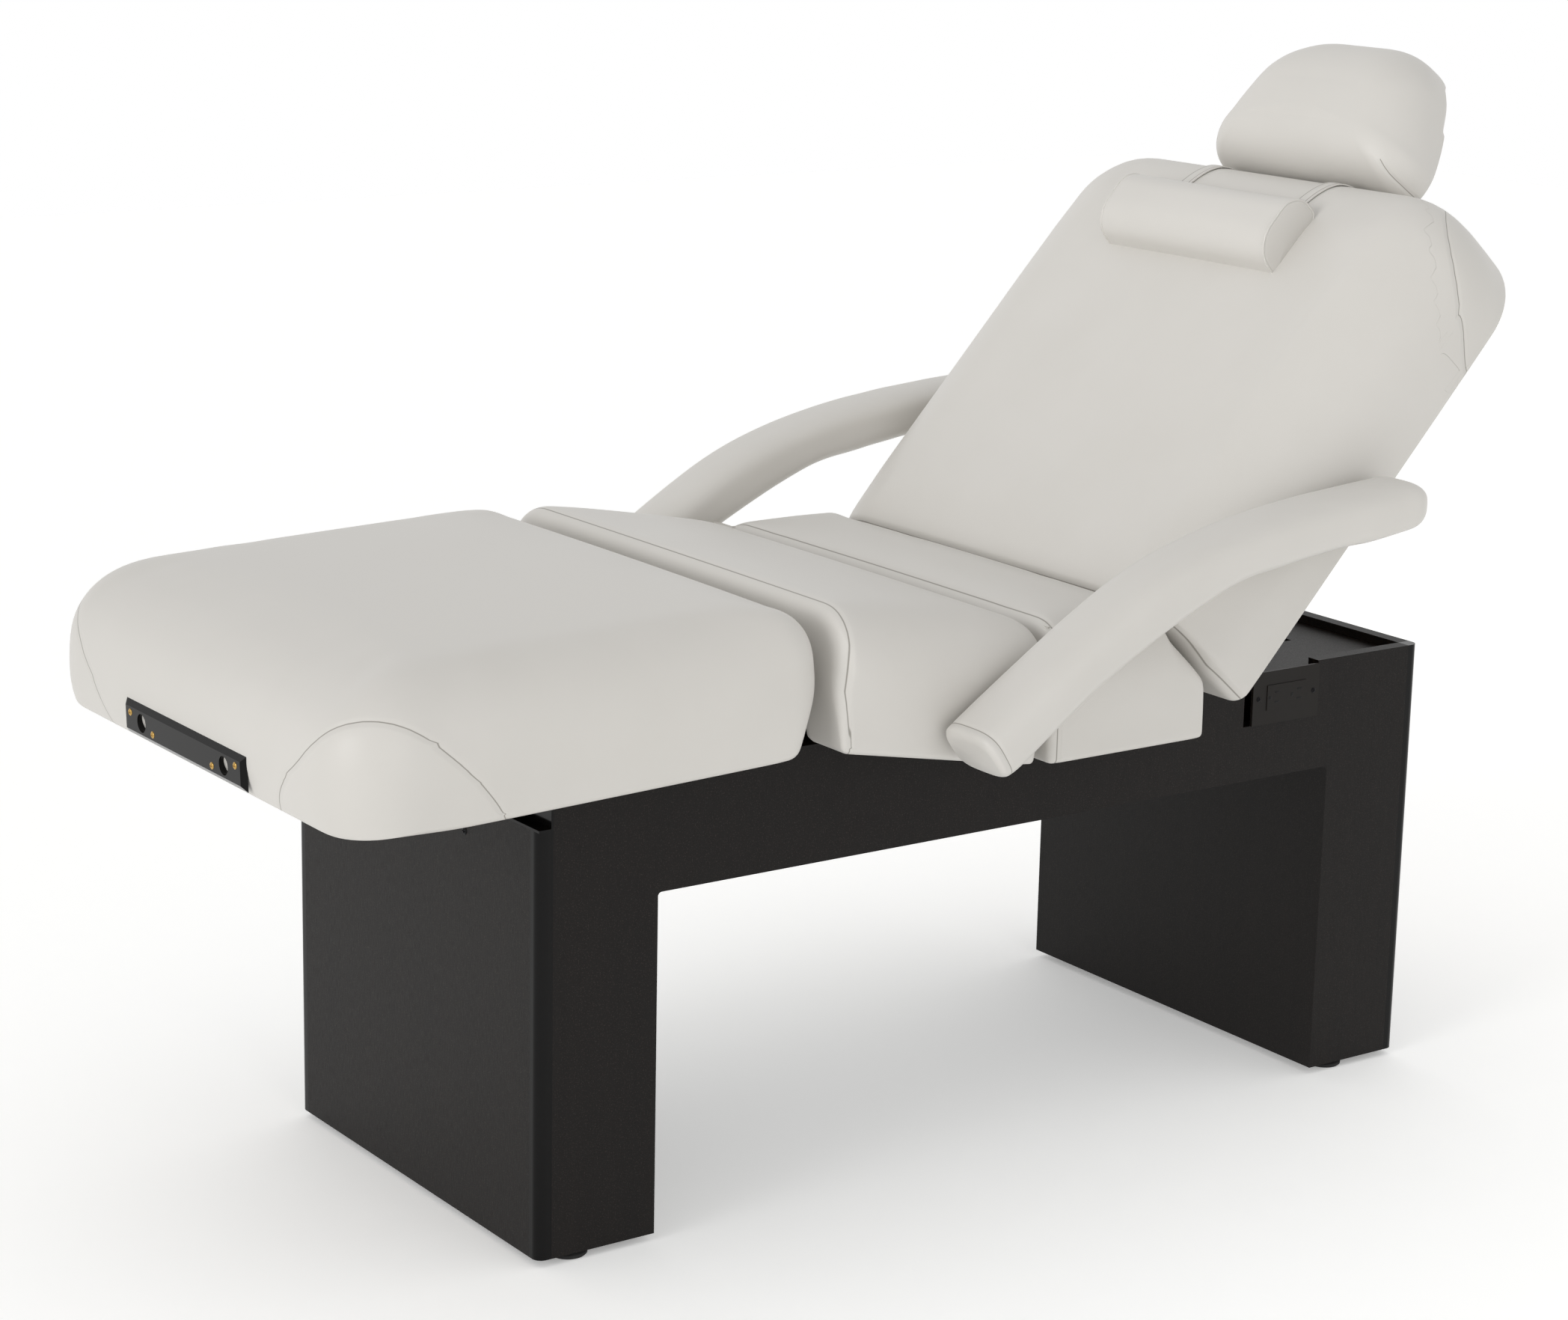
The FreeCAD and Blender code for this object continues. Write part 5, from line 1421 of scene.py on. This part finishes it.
class Mechanism:
    """Lift columns, frames, actuators and rods under the upholstery."""

    def build(self) -> None:
        """Give the mechanism's solids their finishes."""
        dress(POWDER_COAT, "top_frame", "thigh_frame", "leg_frame", "back_frame", "leg_links")
        dress(IVORY_COAT, "arm_post_right", "arm_post_left")
        dress(DARK_ALLOY, "headrest_frame", "column_outer_foot", "column_outer_head")
        dress(STEEL, "column_inner_foot", "column_inner_head", "head_socket_tubes")
        dress(CHROME, "back_rod", "thigh_rod", "headrest_rods")
        dress(DEVICE, "back_actuator", "thigh_actuator")
        dress(BIRCH, "seat_deck", "thigh_deck", "leg_deck", "back_deck")


# Studio


@dataclass(frozen=True)
class Softbox:
    """A square studio light.

    Attributes:
        name: Light name.
        spot: Where it hangs, in metres.
        aim: What it faces, in metres.
        size: Side of the square in metres.
        power: Power in watts.
        spread: Angle of its grid in degrees; 180 is a light without one.
    """

    name: str
    spot: tuple[float, float, float]
    aim: tuple[float, float, float]
    size: float
    power: float
    spread: float = 180.0

    def hang(self) -> None:
        """Make the light and turn it to its aim."""
        lamp = bpy.data.lights.new(self.name, "AREA")
        lamp.shape, lamp.size, lamp.energy = "SQUARE", self.size, self.power
        lamp.spread = math.radians(self.spread)
        lit = bpy.data.objects.new(self.name, lamp)
        spot, aim = np.array(self.spot), np.array(self.aim)
        back = (spot - aim) / np.linalg.norm(spot - aim)
        across = np.cross([0, 0, 1], back)
        across /= np.linalg.norm(across)
        turn = np.eye(4)
        turn[:3, :] = np.stack([across, np.cross(back, across), back, spot], 1)
        lit.matrix_world = Matrix(turn.tolist())
        bpy.context.scene.collection.objects.link(lit)


@dataclass
class Studio:
    """Plain pale floor, soft light and the camera at the picture's angle.

    Attributes:
        camera_spot: Camera place in millimetres.
        right: Camera's right in the row frame.
        down: Camera's down.
        ahead: Where the camera looks.
        focal: Focal length in pixels of a picture 2096 wide.
        backdrop: Level direction of the brightest wall.
        floor_half: Half width of the floor in metres.
        lights: The softboxes.
    """

    camera_spot: tuple[float, float, float] = (-2611.3, -3593.3, 1689.4)
    right: tuple[float, float, float] = (0.81913881, -0.57324454, 0.02005765)
    down: tuple[float, float, float] = (-0.12242912, -0.20889386, -0.97024454)
    ahead: tuple[float, float, float] = (0.5603773, 0.79230932, -0.24129489)
    focal: float = 4809.226
    backdrop: tuple[float, float] = (0.578, 0.816)
    floor_half: float = 9.0
    lights: tuple[Softbox, ...] = (
        Softbox("key", (-0.6, -4.4, 1.8), (0.0, 0.0, 0.7), 2.6, 22),
        Softbox("fill", (-4.4, -1.0, 2.4), (0.85, 0.0, 1.25), 2.4, 8.5, 40),
    )

    def build(self) -> None:
        """Set up the camera, the lights, the world and the floor."""
        scene = bpy.context.scene
        lens = bpy.data.cameras.new("camera")
        lens.sensor_width, lens.lens = 36.0, self.focal / 2096 * 36.0
        lens.clip_start, lens.clip_end = 0.1, 60.0
        eye = bpy.data.objects.new("camera", lens)
        turn = np.eye(4)
        turn[:3, :] = np.stack([self.right, -np.array(self.down), -np.array(self.ahead),
                                np.array(self.camera_spot) * MM], 1)
        eye.matrix_world = Matrix(turn.tolist())
        scene.collection.objects.link(eye)
        scene.camera = eye
        scene.view_settings.view_transform = "Standard"
        for light in self.lights:
            light.hang()
        world = bpy.data.worlds.new("studio")
        world.use_nodes = True
        tree = world.node_tree
        way = add_node(tree, "ShaderNodeTexCoord").outputs["Generated"]
        height = add_node(tree, "ShaderNodeSeparateXYZ", {0: way}).outputs["Z"]
        glow = add_node(tree, "ShaderNodeMapRange", {"Value": height, "From Min": 0.1, "From Max": 0.9,
                                                     "To Min": 1.0, "To Max": 0.78}).outputs["Result"]
        facing = add_node(tree, "ShaderNodeVectorMath", {0: way, 1: (*self.backdrop, 0.0)}, operation="DOT_PRODUCT")
        wall = add_node(tree, "ShaderNodeMapRange", {"Value": facing.outputs["Value"], "From Min": -0.7,
                                                     "From Max": 0.3, "To Min": 0.76}).outputs["Result"]
        both = add_node(tree, "ShaderNodeMath", {0: glow, 1: wall}, operation="MULTIPLY").outputs[0]
        tree.links.new(both, tree.nodes["Background"].inputs["Strength"])
        tree.nodes["Background"].inputs["Color"].default_value = linear("#ffffff")
        scene.world = world
        span = np.linspace(-self.floor_half, self.floor_half, 7)
        u, v = np.meshgrid(span, span, indexing="ij")
        grid = np.stack([u, v, np.zeros_like(u)], 2)
        here = np.arange(49).reshape(7, 7)
        faces = np.stack([here[:-1, :-1], here[1:, :-1], here[1:, 1:], here[:-1, 1:]], -1).reshape(-1, 4)
        mesh = bpy.data.meshes.new("studio_floor")
        mesh.from_pydata(grid.reshape(-1, 3).tolist(), [], faces.tolist())
        mesh.materials.append(Moulding("matt white studio paper", "#fafaf9", "#fcfcfb", (0.85, 0.95), grit=6.0,
                                       depth=0.05, glow=0.27).material())
        floor = bpy.data.objects.new("studio_floor", mesh)
        scene.collection.objects.link(floor)


def main() -> None:
    """Dress the table sub-assembly by sub-assembly and set up the studio."""
    logging.basicConfig(level=logging.INFO, format="%(name)s %(message)s")
    Studio().build()
    Cabinet().build()
    Mechanism().build()
    FootFittings().build()
    for section in (LegSection(), ThighSection(), SeatSection()):
        section.build()
    back = BackSection()
    follow = back.build()
    for side in Side:
        Armrest(side).build()
    Headrest().build()
    Bolster().build(back, follow)


if __name__ == "__main__":
    main()
